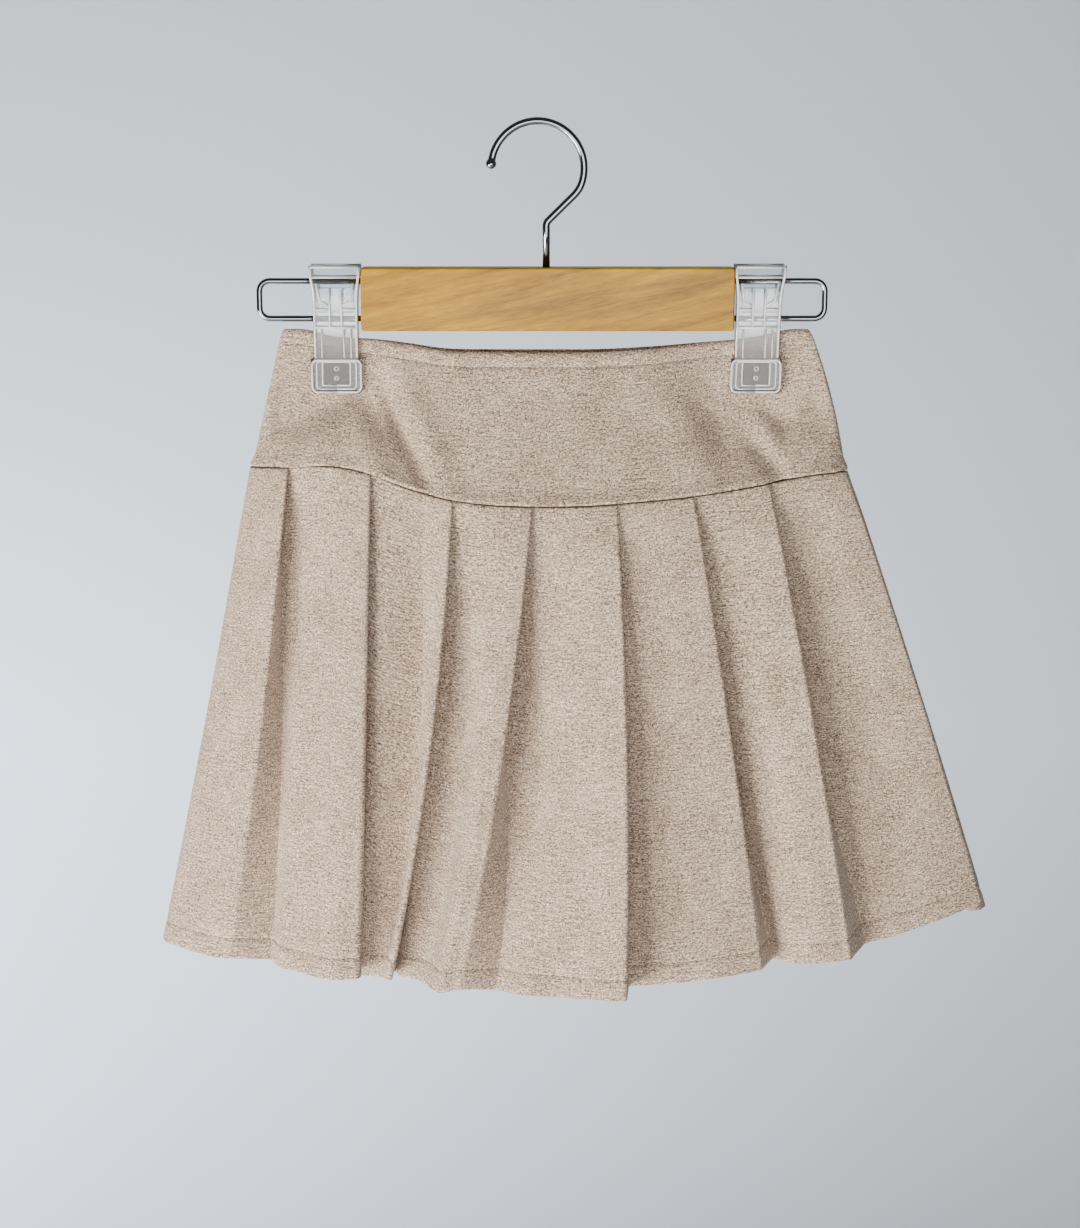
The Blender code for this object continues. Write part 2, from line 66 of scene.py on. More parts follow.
Waist = namedtuple("Waist", "across height depth")
WAIST_LINE = (
    Waist(-1.00, -104.9, 1.3),
    Waist(-0.93, -104.9, 0.9),
    Waist(-0.80, -108.9, 0.7),
    Waist(-0.67, -109.9, 0.7),
    Waist(-0.52, -112.6, 3.0),
    Waist(-0.40, -115.3, 4.8),
    Waist(-0.20, -116.2, 6.5),
    Waist(0.00, -116.3, 7.0),
    Waist(0.20, -116.1, 6.5),
    Waist(0.43, -114.2, 4.4),
    Waist(0.60, -111.8, 1.3),
    Waist(0.68, -110.9, 0.7),
    Waist(0.80, -108.9, 0.7),
    Waist(0.92, -105.2, 0.9),
    Waist(1.00, -104.9, 1.3),
)

Seam = namedtuple("Seam", "across height")
SEAM_LINE = (
    Seam(-1.00, -176.8),
    Seam(-0.87, -176.0),
    Seam(-0.76, -174.7),
    Seam(-0.67, -175.8),
    Seam(-0.58, -179.0),
    Seam(-0.49, -184.4),
    Seam(-0.38, -189.7),
    Seam(-0.25, -193.2),
    Seam(-0.05, -194.8),
    Seam(0.15, -194.4),
    Seam(0.30, -192.7),
    Seam(0.48, -190.2),
    Seam(0.72, -184.6),
    Seam(0.87, -180.6),
    Seam(1.00, -179.0),
)

PRESSED_AT = 0.78
PRESSED_HALF = 0.16
PRESSED_FADE = 0.24
PRESSED_DOWN = 0.50
OPENING_POWER = 1.2

# Drag lines as troughs and ridges: both ends, how far they reach to either side and how far they push out.
Crease = namedtuple("Crease", "x0 z0 x1 z1 reach push")
YOKE_CREASES = (
    Crease(-97, -118, -61, -188, 4.0, -5.0),
    Crease(-97, -116, -84, -150, 3.6, 3.6),
    Crease(-83, -116, -49, -186, 6, 2.4),
    Crease(-105, -138, -82, -188, 7, 3.2),
    Crease(-104, -147, -136, -178, 7, 5.0),
    Crease(-118, -134, -146, -160, 7, -4.4),
    Crease(-143, -117, -126, -127, 5, 0.9),
    Crease(-146, -124, -121, -143, 5, -2.4),
    Crease(117, -141, 129, -157, 5, -3.0),
    Crease(106, -146, 122, -166, 6, 2.6),
    Crease(108, -162, 128, -187, 5, -4.0),
    Crease(124, -146, 146, -172, 8, 1.4),
    Crease(-30, -138, 12, -150, 10, -0.5),
    Crease(28, -160, 66, -152, 9, -0.5),
)
CREASE_OVERRUN = 0.15
CREASE_RUN_OUT = 0.4
CREASE_FADE_WAIST = 12.0
SIDE_FADE = 0.1
PAD_AT = 110.2
PAD_HALF = 13.0
PAD_LOW = -138.0
PAD_FADE_SIDE = 4.0
PAD_FADE_LOW = 6.0

YOKE_COLUMNS = 130
YOKE_ROWS = 26
SIDE_TURN_ANGLES = (0, 18, 36, 54, 72)
SIDE_TURN_POWER = 1.5
SIDE_SEAM_HALF = 0.1
WAIST_STITCH_DOWN = 8.0
WAIST_CORNER = 1.8
WAIST_CORNER_SHARE = 0.06
WAIST_ROLL = 0.5
WAIST_ROLL_FADE = 3.0
STITCH_GROOVE = 0.7
STITCH_GROOVE_REACH = 1.1
ROWS_NEAR_STITCHES = (-1.6, -0.9, -0.4, 0, 0.4, 0.9, 1.6)
SEAM_PUFF = 1.6
SEAM_PUFF_SHARE = 0.09
YOKE_ROWS_NEAR_SEAM = (0.97, 0.985)
YOKE_TUCK = ((0.4, 0.05), (1.0, 0.0), (1.6, 0.2))
MAP_ROW_SHARE = 0.6


def column(rows, name):
    """One named column of a table, as an array."""
    return np.array([getattr(row, name) for row in rows], dtype=float)


def curve_through(places, values, at):
    """Smooth curve through a table's points: cubic pieces that take the mean slope at each point."""
    slopes = np.gradient(values, places)
    i = np.clip(np.searchsorted(places, at) - 1, 0, len(places) - 2)
    width = places[i + 1] - places[i]
    s = np.clip((at - places[i]) / width, 0.0, 1.0)
    rise = s * s * (3 - 2 * s)
    start = values[i] * (1 - rise) + slopes[i] * width * s * (1 - s) ** 2
    return start + values[i + 1] * rise - slopes[i + 1] * width * s * s * (1 - s)


def ease(s):
    """Slow start and end between 0 and 1."""
    s = np.clip(s, 0.0, 1.0)
    return s * s * (3 - 2 * s)


def waist_height(across):
    """Height of the waist edge, from -1 at the left side to 1 at the right."""
    return curve_through(column(WAIST_LINE, "across"), column(WAIST_LINE, "height"), across)


def seam_height(across):
    """Height of the seam under the yoke, from -1 at the left side to 1 at the right."""
    return curve_through(column(SEAM_LINE, "across"), column(SEAM_LINE, "height"), across)


def hip_half(x):
    """Half width of the yoke's lower edge on the side that x lies on."""
    return np.where(np.asarray(x) < 0, HIP_LEFT, HIP_RIGHT)


def hip_depth(across):
    """Half the depth of the hips, front to back, where yoke and pleats meet."""
    return SIDE_TURN_HIP + HIP_BULGE * (1 - np.minimum(1.0, np.abs(across)) ** 2) ** HIP_POWER


def pressed(across, down):
    """How far the tube has opened below the clips: 0 pressed flat, 1 at the seam."""
    off = np.abs(np.abs(across) - PRESSED_AT)
    hold = 1 - ease((off - PRESSED_HALF) / PRESSED_FADE)
    start = PRESSED_DOWN * hold
    return ease((down - start) / (1 - start)) * hold + down ** OPENING_POWER * (1 - hold)


def crease_push(x, z):
    """Sum of the drag lines' troughs and ridges at a place on the yoke."""
    total = 0.0
    for row in YOKE_CREASES:
        along = np.array((row.x1 - row.x0, row.z1 - row.z0), dtype=float)
        length = np.linalg.norm(along)
        s = ((x - row.x0) * along[0] + (z - row.z0) * along[1]) / length ** 2
        off = ((x - row.x0) * along[1] - (z - row.z0) * along[0]) / length
        fade = ease((s + CREASE_OVERRUN) / CREASE_RUN_OUT) * ease((1 + CREASE_OVERRUN - s) / CREASE_RUN_OUT)
        total += row.push * fade * math.exp(-(off / row.reach) ** 2)
    return total


def groove(distance):
    """Depth that a line of stitches pulls into the cloth, at a distance from the line."""
    return STITCH_GROOVE * np.exp(-(distance / STITCH_GROOVE_REACH) ** 2)


def seam_puff(down):
    """How far the yoke swells over its lower seam, where the allowances lie behind it."""
    return SEAM_PUFF * ease((down - 1 + SEAM_PUFF_SHARE) / SEAM_PUFF_SHARE)


def yoke_place(across, down, side):
    """Point of the yoke's middle surface. across -1 to 1, down 0 to 1, side -1 front or 1 back."""
    swell = HIP_SWELL * 4 * down * (1 - down) if across > 0 else 0.0
    half = WAIST_HALF + (float(hip_half(across)) - WAIST_HALF) * down + swell
    x = across * half
    top = waist_height(across)
    drop = top - seam_height(across)
    z = top - (drop - SEAM_HALF_GAP) * down
    waist = curve_through(column(WAIST_LINE, "across"), column(WAIST_LINE, "depth"), across)
    open_share = pressed(across, down)
    depth = waist + (hip_depth(across) - waist) * open_share
    edge_fade = ease((1 - abs(across)) / SIDE_FADE)
    beside_pad = ease((abs(abs(x) - PAD_AT) - PAD_HALF) / PAD_FADE_SIDE)
    below_pad = ease((PAD_LOW - z) / PAD_FADE_LOW)
    below_waist = ease((WAIST_LINE[0].height - z) / CREASE_FADE_WAIST)
    depth += crease_push(x, z) * edge_fade * max(beside_pad, below_pad) * below_waist
    depth += seam_puff(down)
    depth += WAIST_ROLL * ease((WAIST_STITCH_DOWN - drop * down) / WAIST_ROLL_FADE) * edge_fade
    depth -= groove(drop * down - WAIST_STITCH_DOWN) * edge_fade
    return x, side * max(depth, CLOSEST_LAYER), z


def yoke_surface(side):
    """Rows of points down one yoke panel, round at both side edges and rolled in at the seam."""
    near_stitches = (WAIST_STITCH_DOWN + np.array(ROWS_NEAR_STITCHES)) / YOKE_DEPTH
    downs = np.unique(np.concatenate((np.linspace(0, 1, YOKE_ROWS), near_stitches, YOKE_ROWS_NEAR_SEAM)))
    columns = np.linspace(-1, 1, YOKE_COLUMNS + 1)[2:-2]
    turn = [math.radians(a) for a in SIDE_TURN_ANGLES]
    rows = []
    for down in downs:
        radius = SIDE_TURN_WAIST + (SIDE_TURN_HIP - SIDE_TURN_WAIST) * down ** SIDE_TURN_POWER
        radius += seam_puff(down)
        edges = []
        for end, angles in ((-1, turn), (1, turn[::-1])):
            x_end, _, z_end = yoke_place(end, down, side)
            x_end += end * seam_puff(down)
            drop = WAIST_CORNER * ease(1 - down / WAIST_CORNER_SHARE)
            edges.append([(x_end - end * radius * (1 - math.cos(a)),
                           side * (SIDE_SEAM_HALF + radius * math.sin(a)),
                           z_end - drop * math.cos(a) ** 2) for a in angles])
        middle = [yoke_place(across, down, side) for across in columns]
        rows.append(edges[0] + middle + edges[1])
    rows = np.array(rows)
    outward = rows[-1] * (0, 1, 0)
    outward[:, 1] = np.sign(outward[:, 1])
    for inward, lift in YOKE_TUCK:
        rows = np.concatenate((rows, [rows[len(downs) - 1] - outward * inward + (0, 0, lift)]))
    return rows


def cloth_map(places):
    """Across and down the cloth in metres, from the lengths of its own threads."""
    across_steps = np.linalg.norm(np.diff(places, axis=1), axis=2)
    lower_row = across_steps[int(len(places) * MAP_ROW_SHARE)]
    across = np.concatenate(([0.0], np.cumsum(lower_row)))
    down_steps = np.linalg.norm(np.diff(places, axis=0), axis=2)
    down = np.concatenate((np.zeros((1, places.shape[1])), np.cumsum(down_steps, axis=0)))
    return np.broadcast_to(across, down.shape) * MM, down * MM


def make_object(name, bm, finishes):
    """An object of a finished mesh, with smooth shading and its materials in order."""
    mesh = bpy.data.meshes.new(name)
    bm.to_mesh(mesh)
    bm.free()
    mesh.shade_smooth()
    for finish in finishes:
        mesh.materials.append(finish)
    made = bpy.data.objects.new(name, mesh)
    bpy.context.scene.collection.objects.link(made)
    return made


def make_sheet(name, places, outward_right, first_metre):
    """A cloth panel: a grid whose points take their places row by row, with its own map in metres."""
    rows, columns = places.shape[:2]
    across, down = cloth_map(places)
    bm = bmesh.new()
    bmesh.ops.create_grid(bm, x_segments=columns - 1, y_segments=rows - 1, size=0.5)
    layer = bm.loops.layers.uv.new("cloth")
    spots = {}
    for vert in bm.verts:
        spots[vert] = (round((0.5 - vert.co.y) * (rows - 1)), round((vert.co.x + 0.5) * (columns - 1)))
    for vert, spot in spots.items():
        vert.co = places[spot] * MM
    for face in bm.faces:
        for loop in face.loops:
            spot = spots[loop.vert]
            loop[layer].uv = (across[spot] + first_metre, -down[spot])
    if not outward_right:
        bmesh.ops.reverse_faces(bm, faces=bm.faces)
    panel = make_object(name, bm, (melange,))
    wall = panel.modifiers.new("wall", "SOLIDIFY")
    wall.thickness = SHELL * MM
    wall.offset = 0.0
    wall.use_even_offset = False
    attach(panel, "root")
    return panel


def linear(code):
    """Linear colour of an sRGB hex code."""
    parts = [int(code[i:i + 2], 16) / 255 for i in (1, 3, 5)]
    return (*[p / 12.92 if p <= 0.04045 else ((p + 0.055) / 1.055) ** 2.4 for p in parts], 1.0)


def add_node(tree, kind, settings=None, **links):
    """Add a node, set its properties and sockets, and link sockets given by name or number."""
    node = tree.nodes.new(kind)
    for key, value in (settings or {}).items():
        if isinstance(key, str) and key not in node.inputs:
            setattr(node, key, value)
        else:
            node.inputs[key].default_value = value
    for key, source in links.items():
        socket = node.inputs[int(key[1:])] if key[0] == "i" and key[1:].isdigit() else node.inputs[key]
        tree.links.new(source, socket)
    return node


def new_finish(name):
    """Empty node material with its Principled shader and tree."""
    made = bpy.data.materials.new(name)
    made.use_nodes = True
    return made, made.node_tree, made.node_tree.nodes["Principled BSDF"]


def set_stops(ramp, stops):
    """Colour stops of a ramp, from (place, hex) rows."""
    elements = ramp.color_ramp.elements
    while len(elements) < len(stops):
        elements.new(0.5)
    for element, (place, code) in zip(elements, stops):
        element.position = place
        element.color = linear(code)


# Oatmeal melange double knit: cotton and viscose fibres of two tones spun together, brushed on the face.
# Short flecks run along the courses, across each panel; the brushed face is matte with a faint fuzzy sheen.
# Single fibres are too fine to show, so the flecks and the grain are drawn as coarse as small tufts of them.
FLECK_LONG = 1.8
FLECK_TALL = 0.9
FLECK_SHARE = 0.36
GRAIN = 0.75
GRAIN_SHARE = 0.46
STREAK_LONG = 9.0
STREAK_TALL = 1.3
STREAK_SHARE = 0.13
CLOUD = 24.0
CLOUD_SHARE = 0.05
FUZZ_HEIGHT = 0.4
FUZZ_GRAIN = 1.5
melange, tree, shader = new_finish("brushed melange knit")
cloth_place = add_node(tree, "ShaderNodeUVMap", {"uv_map": "cloth"}).outputs["UV"]
cloth_mm = add_node(tree, "ShaderNodeMapping", {"Scale": (1000, 1000, 1000)}, Vector=cloth_place)
in_mm = cloth_mm.outputs["Vector"]
flecks_at = add_node(tree, "ShaderNodeMapping", {"Scale": (1 / FLECK_LONG, 1 / FLECK_TALL, 1)}, Vector=in_mm)
flecks = add_node(tree, "ShaderNodeTexNoise", {"Scale": 1.0, "Detail": 3.0, "Roughness": 0.62},
                  Vector=flecks_at.outputs["Vector"])
grain = add_node(tree, "ShaderNodeTexNoise", {"Scale": 1 / GRAIN, "Detail": 2.0, "Roughness": 0.7},
                 Vector=in_mm)
clouds = add_node(tree, "ShaderNodeTexNoise", {"Scale": 1 / CLOUD, "Detail": 2.0}, Vector=in_mm)
streaks_at = add_node(tree, "ShaderNodeMapping", {"Scale": (1 / STREAK_LONG, 1 / STREAK_TALL, 1)},
                      Vector=in_mm)
streaks = add_node(tree, "ShaderNodeTexNoise", {"Scale": 1.0, "Detail": 2.0},
                   Vector=streaks_at.outputs["Vector"])
fine = add_node(tree, "ShaderNodeMath", {"operation": "MULTIPLY", 1: GRAIN_SHARE}, i0=grain.outputs["Fac"])
mixed = add_node(tree, "ShaderNodeMath", {"operation": "MULTIPLY_ADD", 1: FLECK_SHARE},
                 i0=flecks.outputs["Fac"], i2=fine.outputs[0])
soft = add_node(tree, "ShaderNodeMath", {"operation": "MULTIPLY_ADD", 1: STREAK_SHARE},
                i0=streaks.outputs["Fac"], i2=mixed.outputs[0])
tone = add_node(tree, "ShaderNodeMath", {"operation": "MULTIPLY_ADD", 1: CLOUD_SHARE},
                i0=clouds.outputs["Fac"], i2=soft.outputs[0])
colour = add_node(tree, "ShaderNodeValToRGB", Fac=tone.outputs[0])
set_stops(colour, ((0.43, "#4a4038"), (0.48, "#927e6d"), (0.54, "#bda792"), (0.60, "#f2e3d2")))
tree.links.new(colour.outputs["Color"], shader.inputs["Base Color"])
fuzz = add_node(tree, "ShaderNodeMath", {"operation": "MULTIPLY_ADD", 1: FUZZ_GRAIN},
                i0=grain.outputs["Fac"], i2=flecks.outputs["Fac"])
raised = add_node(tree, "ShaderNodeBump", {"Strength": 0.30, "Distance": FUZZ_HEIGHT * MM},
                  Height=fuzz.outputs[0])
tree.links.new(raised.outputs["Normal"], shader.inputs["Normal"])
shader.inputs["Roughness"].default_value = 0.92
shader.inputs["Specular IOR Level"].default_value = 0.2
shader.inputs["Sheen Weight"].default_value = 0.18
shader.inputs["Sheen Roughness"].default_value = 0.6

# Each panel takes its pattern from its own stretch of cloth, whose first metre stands last in its row.
for side, name, node, first_metre in ((-1, "front_yoke_panel", "yoke_front", 0.0),
                                      (1, "back_yoke_panel", "yoke_back", 0.7)):
    panel = make_sheet(name, yoke_surface(side), side < 0, first_metre)
    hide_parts(node)


# Pleated panels
# Front and back skirt of the same knit, pressed into knife pleats that all turn one way and sewn to the yoke.
# Each pressed edge lies over its neighbour to the right; the pleats hang open towards the turned-up hem.
FOLD = 0.8
FOLD_SOFTENS = 1.5
RIDGE_PROUD = 1.5
SIDE_SEAM_SPREAD = 0.15

# Places of each pressed edge at the seam, halfway and at the hem, its distance out at the hem and its length.
# Then the fold under it: tuck and sink at the seam, spread and heading at the hem, and how late it opens. bow
# rounds the face that ends at the edge, most at bow_at, and soft rounds the edge itself towards the hem.
Pleat = namedtuple("Pleat", "seam mid hem out length tuck sink spread heading opens bow bow_at soft")
PLEATS = (
    Pleat(-137.5, -152.4, -171.7, -31, 268.0, 9, 2.0, 21, 10, 0.50, 3.0, 0.60, 1.2),
    Pleat(-93.3, -97.4, -102.9, -50, 269.0, 20, 1.7, 26, 114, 0.45, 8.0, 0.72, 2.6),
    Pleat(-50.4, -62.2, -84.6, -44, 260.5, 20, 1.7, 18, 84, 0.60, 3.0, 0.60, 0.8),
    Pleat(-8.5, -24.0, -46.8, -48, 261.5, 20, 1.7, 20, 10, 0.90, 11.0, 0.78, 2.0),
    Pleat(36.1, 41.4, 41.4, -62, 263.0, 20, 1.7, 22, 80, 1.10, 2.0, 0.60, 0.6),
    Pleat(76.5, 97.2, 115.6, -34, 260.0, 20, 1.7, 20, 63, 0.75, 4.0, 0.60, 0.9),
    Pleat(116.5, 142.0, 164.3, -30, 263.0, 20, 1.7, 20, 54, 0.70, 7.0, 0.55, 0.9),
    Pleat(158.0, 200.2, 238.8, -3, 253.5, 20, 2.0, 20, 162, 0.40, 4.0, 0.55, 0.8),
    Pleat(126.0, 164.0, 202.0, 40, 262.0, 17, 2.2, 21, 250, 0.55, 3.0, 0.60, 0.8),
    Pleat(81.0, 118.0, 150.0, 50, 261.0, 20, 1.7, 20, 262, 0.80, 4.0, 0.60, 1.2),
    Pleat(36.0, 58.0, 78.0, 63, 263.0, 20, 1.7, 20, 256, 0.80, 3.0, 0.60, 0.8),
    Pleat(-9.5, 14.0, 38.0, 54, 262.0, 20, 1.7, 20, 285, 0.80, 3.0, 0.60, 1.4),
    Pleat(-54.5, -46.0, -34.0, 64, 262.0, 20, 1.7, 22, 244, 0.90, 4.0, 0.60, 0.8),
    Pleat(-100.0, -107.0, -112.0, 52, 261.0, 20, 1.7, 20, 266, 0.80, 4.0, 0.60, 1.0),
    Pleat(-145.0, -158.0, -168.0, 38, 263.0, 20, 1.7, 20, 280, 0.80, 3.0, 0.60, 0.8),
)
FRONT_PLEATS = 8

Side = namedtuple("Side", "seam mid hem out length turn_seam turn_hem")
LEFT_SIDE = Side(-157.7, -183.6, -212.0, -4, 268.5, 4.5, 14.0)
RIGHT_SIDE = Side(160.9, 204.6, 246.0, 13, 262.4, 3.5, 10.0)

# Soft waves in the panels' faces, by the pleat that ends the face. top and low: place across it, 0 to 1, at
# the start and end of the wave. start, end: how far down. reach: width in shares of the face. push: outwards.
Wave = namedtuple("Wave", "pleat top low start end reach push")
WAVES = (
    Wave(0, 0.45, 0.55, 0.25, 1.20, 0.20, -1.0),
    Wave(1, 0.20, 0.16, 0.01, 0.45, 0.06, -2.0),
    Wave(1, 0.24, 0.22, 0.25, 1.30, 0.18, 4.6),
    Wave(2, 0.44, 0.44, -0.15, 1.25, 0.12, 3.0),
    Wave(2, 0.86, 0.85, -0.15, 1.16, 0.24, -11.0),
    Wave(3, 0.38, 0.60, 0.06, 1.20, 0.28, -8.5),
    Wave(3, 0.14, 0.16, 0.45, 1.30, 0.12, 3.0),
    Wave(4, 0.22, 0.22, 0.06, 0.90, 0.14, -3.4),
    Wave(4, 0.24, 0.22, 0.50, 1.35, 0.18, 3.4),
    Wave(4, 0.75, 0.68, 0.15, 0.85, 0.14, -0.7),
    Wave(5, 0.30, 0.26, 0.10, 1.30, 0.16, 1.6),
    Wave(5, 0.75, 0.80, 0.30, 1.05, 0.12, -0.8),
    Wave(6, 0.30, 0.28, 0.15, 1.30, 0.18, 2.2),
    Wave(6, 0.66, 0.72, 0.20, 1.00, 0.14, 0.9),
    Wave(7, 0.24, 0.22, 0.10, 1.30, 0.16, 1.8),
    Wave(7, 0.78, 0.75, 0.05, 0.70, 0.12, 0.8),
    Wave(8, 0.50, 0.42, 0.20, 1.15, 0.17, -1.6),
    Wave(9, 0.28, 0.24, 0.06, 1.20, 0.18, -4.0),
    Wave(10, 0.28, 0.30, 0.06, 1.25, 0.18, -3.6),
    Wave(11, 0.30, 0.26, 0.06, 1.20, 0.18, -4.2),
    Wave(12, 0.26, 0.24, 0.06, 1.25, 0.17, -3.4),
    Wave(13, 0.28, 0.30, 0.06, 1.20, 0.18, -4.0),
    Wave(14, 0.45, 0.52, 0.25, 1.20, 0.16, -1.6),
)
WAVE_RUN_IN = 0.35
WAVE_RUN_OUT = 0.3
WAVE_CLEAR_START = 0.12
WAVE_CLEAR_END = 0.15

INNER_SLANT = 2.0
INNER_OWN_SHARE = 0.8
BOW_SHARPNESS = 2.5
BOW_RISE = 1.4
FLARE_RISE = 0.92
RIDGE_STEPS = 6
SIDE_STEPS = 12
FACE_POINTS = 17
UNDER_POINTS = 4
LEVELS = 46
LEVELS_NEAR_ENDS = (0.004, 0.008, 0.013, 0.99)
SEAM_DROP = 1.5
SEAM_ROLL = 1.0
SEAM_ROLL_REACH = 0.018
SEAM_SQUEEZE = 0.55
SEAM_SQUEEZE_REACH = 0.12
SEAM_CLEAR_SIDE = 8.0
PANEL_TUCK = ((1.2, 0.1), (0.5, 0.2))
PANEL_LENGTH = 262.0
HEM_DEPTH = 13.0
HEM_STITCH_UP = 10.0
HEM_TURN = 0.62
HEM_TURN_ANGLES = (30, 60, 90, 120, 150, 180)
HEM_ROWS = (2.5, 6, 9.5, HEM_DEPTH)

Fold = namedtuple("Fold", "x y radius height row")


def outline_depth(x):
    """Half depth of the hips at x."""
    return hip_depth(x / hip_half(x))


def through_three(first, middle, last, t):
    """Parabola that is at the three values for t of 0, 0.5 and 1."""
    return first * (1 - t) * (1 - 2 * t) + middle * 4 * t * (1 - t) + last * t * (2 * t - 1)


def top_height(x):
    """Height of the pleats' upper edge at x."""
    return seam_height(np.clip(x / hip_half(x), -1, 1)) - SEAM_HALF_GAP


def hem_height(row, y_seam):
    """Height of the hem under a fold line of the row's own length."""
    reach = (row.hem - row.seam) ** 2 + (row.out - y_seam) ** 2
    return float(top_height(row.seam)) - math.sqrt(row.length ** 2 - reach)


def side_fold(row, t):
    """The round turn at one side of the skirt."""
    radius = row.turn_seam + (row.turn_hem - row.turn_seam) * t
    edge = through_three(row.seam, row.mid, row.hem, t)
    inward = radius + CLOTH / 2
    x = edge + inward if row.seam < 0 else edge - inward
    return Fold(x, row.out * t, radius, hem_height(row, 0.0), -1)


def pleat_folds(index, row, side, next_height, t):
    """A pleat's pressed edge, and its inner fold, which swings from flat under it to its hem heading."""
    seam_edge = np.array((row.seam, side * (outline_depth(row.seam) + RIDGE_PROUD)))
    tucked = row.seam + side * row.tuck
    seam_inner = np.array((tucked, side * (outline_depth(tucked) - row.sink)))
    x = through_three(row.seam, row.mid, row.hem, t)
    y = seam_edge[1] + (row.out - seam_edge[1]) * t ** FLARE_RISE
    away = seam_inner - seam_edge
    start = math.atan2(away[1], away[0]) % (2 * math.pi)
    if side > 0 and start < math.pi:
        start += 2 * math.pi
    heading = start + (math.radians(row.heading) - start) * t ** row.opens
    width = np.linalg.norm(away)
    width += (row.spread - width) * t
    height = hem_height(row, seam_edge[1])
    inner_height = INNER_OWN_SHARE * height + (1 - INNER_OWN_SHARE) * next_height - INNER_SLANT
    edge = Fold(x, y, FOLD + row.soft * t ** FOLD_SOFTENS, height, index)
    inner = Fold(x + width * math.cos(heading), y + width * math.sin(heading), -FOLD, inner_height, index)
    return edge, inner


def folds_at(t):
    """All folds round the skirt at one level, from the left side, front first."""
    sides = [-1 if i < FRONT_PLEATS else 1 for i in range(len(PLEATS))]
    heights = []
    for row, side in zip(PLEATS, sides):
        heights.append(hem_height(row, side * (outline_depth(row.seam) + RIDGE_PROUD)))
    folds = [side_fold(LEFT_SIDE, t)]
    for i, (row, side) in enumerate(zip(PLEATS, sides)):
        if i == FRONT_PLEATS:
            folds.append(side_fold(RIGHT_SIDE, t))
        edge, inner = pleat_folds(i, row, side, heights[(i + 1) % len(PLEATS)], t)
        if i in (FRONT_PLEATS - 1, len(PLEATS) - 1):
            inner = inner._replace(radius=-(LAYER + SIDE_SEAM_SPREAD * t))
        folds += [edge, inner]
    return folds


def heading_between(a, b):
    """Heading of the straight run that leaves fold a and meets fold b, each on its own side."""
    dx, dy = b.x - a.x, b.y - a.y
    return math.atan2(dy, dx) - math.asin((b.radius - a.radius) / math.hypot(dx, dy))


def on_fold(fold, heading):
    """Point of a fold's circle where the cloth runs at the given heading."""
    return fold.x + fold.radius * math.sin(heading), fold.y - fold.radius * math.cos(heading)


def turn_points(fold, heading_in, heading_out):
    """Points round a fold, from one heading to the other, on the side that the fold turns to."""
    way = 1 if fold.radius > 0 else -1
    turn = (way * (heading_out - heading_in) + math.pi / 2) % (2 * math.pi) - math.pi / 2
    steps = SIDE_STEPS if fold.row < 0 else RIDGE_STEPS
    points = []
    for i in range(steps + 1):
        x, y = on_fold(fold, heading_in + way * turn * i / steps)
        points.append((x, y, fold.height))
    return points


def bow_shape(s, peak):
    """Rounded rise from 0 at both ends of a panel to 1 at the peak."""
    left = (s / peak) ** peak
    right = ((1 - s) / (1 - peak)) ** (1 - peak)
    return (left * right) ** BOW_SHARPNESS


def wave_push(pleat, s, t):
    """Sum of the soft waves on the face that ends at a pleat."""
    total = 0.0
    for row in WAVES:
        if row.pleat == pleat and row.start < t < row.end:
            along = (t - row.start) / (row.end - row.start)
            centre = row.top + (row.low - row.top) * along
            fade = ease(along / WAVE_RUN_IN) * ease((1 - along) / WAVE_RUN_OUT)
            total += row.push * fade * math.exp(-((s - centre) / row.reach) ** 2)
    return total * ease(s / WAVE_CLEAR_START) * ease((1 - s) / WAVE_CLEAR_END)


def straight_points(a, b, count, t, pleat, follow):
    """Points between two folds. A panel is rounded out, and near the seam it follows the hips."""
    heading = heading_between(a, b)
    start, end = np.array(on_fold(a, heading)), np.array(on_fold(b, heading))
    outward = np.array((math.sin(heading), -math.cos(heading)))
    points = []
    for i in range(1, count + 1):
        s = i / (count + 1)
        place = start + (end - start) * s
        if pleat is not None:
            push = pleat.bow * t ** BOW_RISE * bow_shape(s, pleat.bow_at)
            push += follow[i - 1] * (1 - t) ** 2 + wave_push(b.row, s, t)
            place = place + outward * push
        points.append((place[0], place[1], a.height + (b.height - a.height) * s))
    return points


def hip_follow(a, b, count, side, start_proud):
    """How far a panel's points at the seam lie outside the straight line, to follow the hips."""
    heading = heading_between(a, b)
    start, end = np.array(on_fold(a, heading)), np.array(on_fold(b, heading))
    outward = np.array((math.sin(heading), -math.cos(heading)))
    follow = []
    for i in range(1, count + 1):
        s = i / (count + 1)
        place = start + (end - start) * s
        proud = start_proud + (RIDGE_PROUD + FOLD - start_proud) * s
        hips = np.array((place[0], side * (outline_depth(place[0]) + proud)))
        follow.append(float(np.dot(hips - place, outward)))
    return follow


def face_of(a, b, at_seam):
    """Rounding of the face between folds a and b, and its shape at the seam."""
    if at_seam[b].row < 0:
        return PLEATS[at_seam[a].row]._replace(bow=0.0), [0.0] * FACE_POINTS
    side = -1 if at_seam[b].y < 0 else 1
    start = -LAYER if at_seam[a].row < 0 else -(PLEATS[at_seam[a].row].sink + FOLD)
    return PLEATS[at_seam[b].row], hip_follow(at_seam[a], at_seam[b], FACE_POINTS, side, start)


at_seam = folds_at(0.0)
faces = {}
for b in range(len(at_seam)):
    a = (b - 1) % len(at_seam)
    if not (at_seam[a].radius > 0 > at_seam[b].radius):
        faces[b] = face_of(a, b, at_seam)


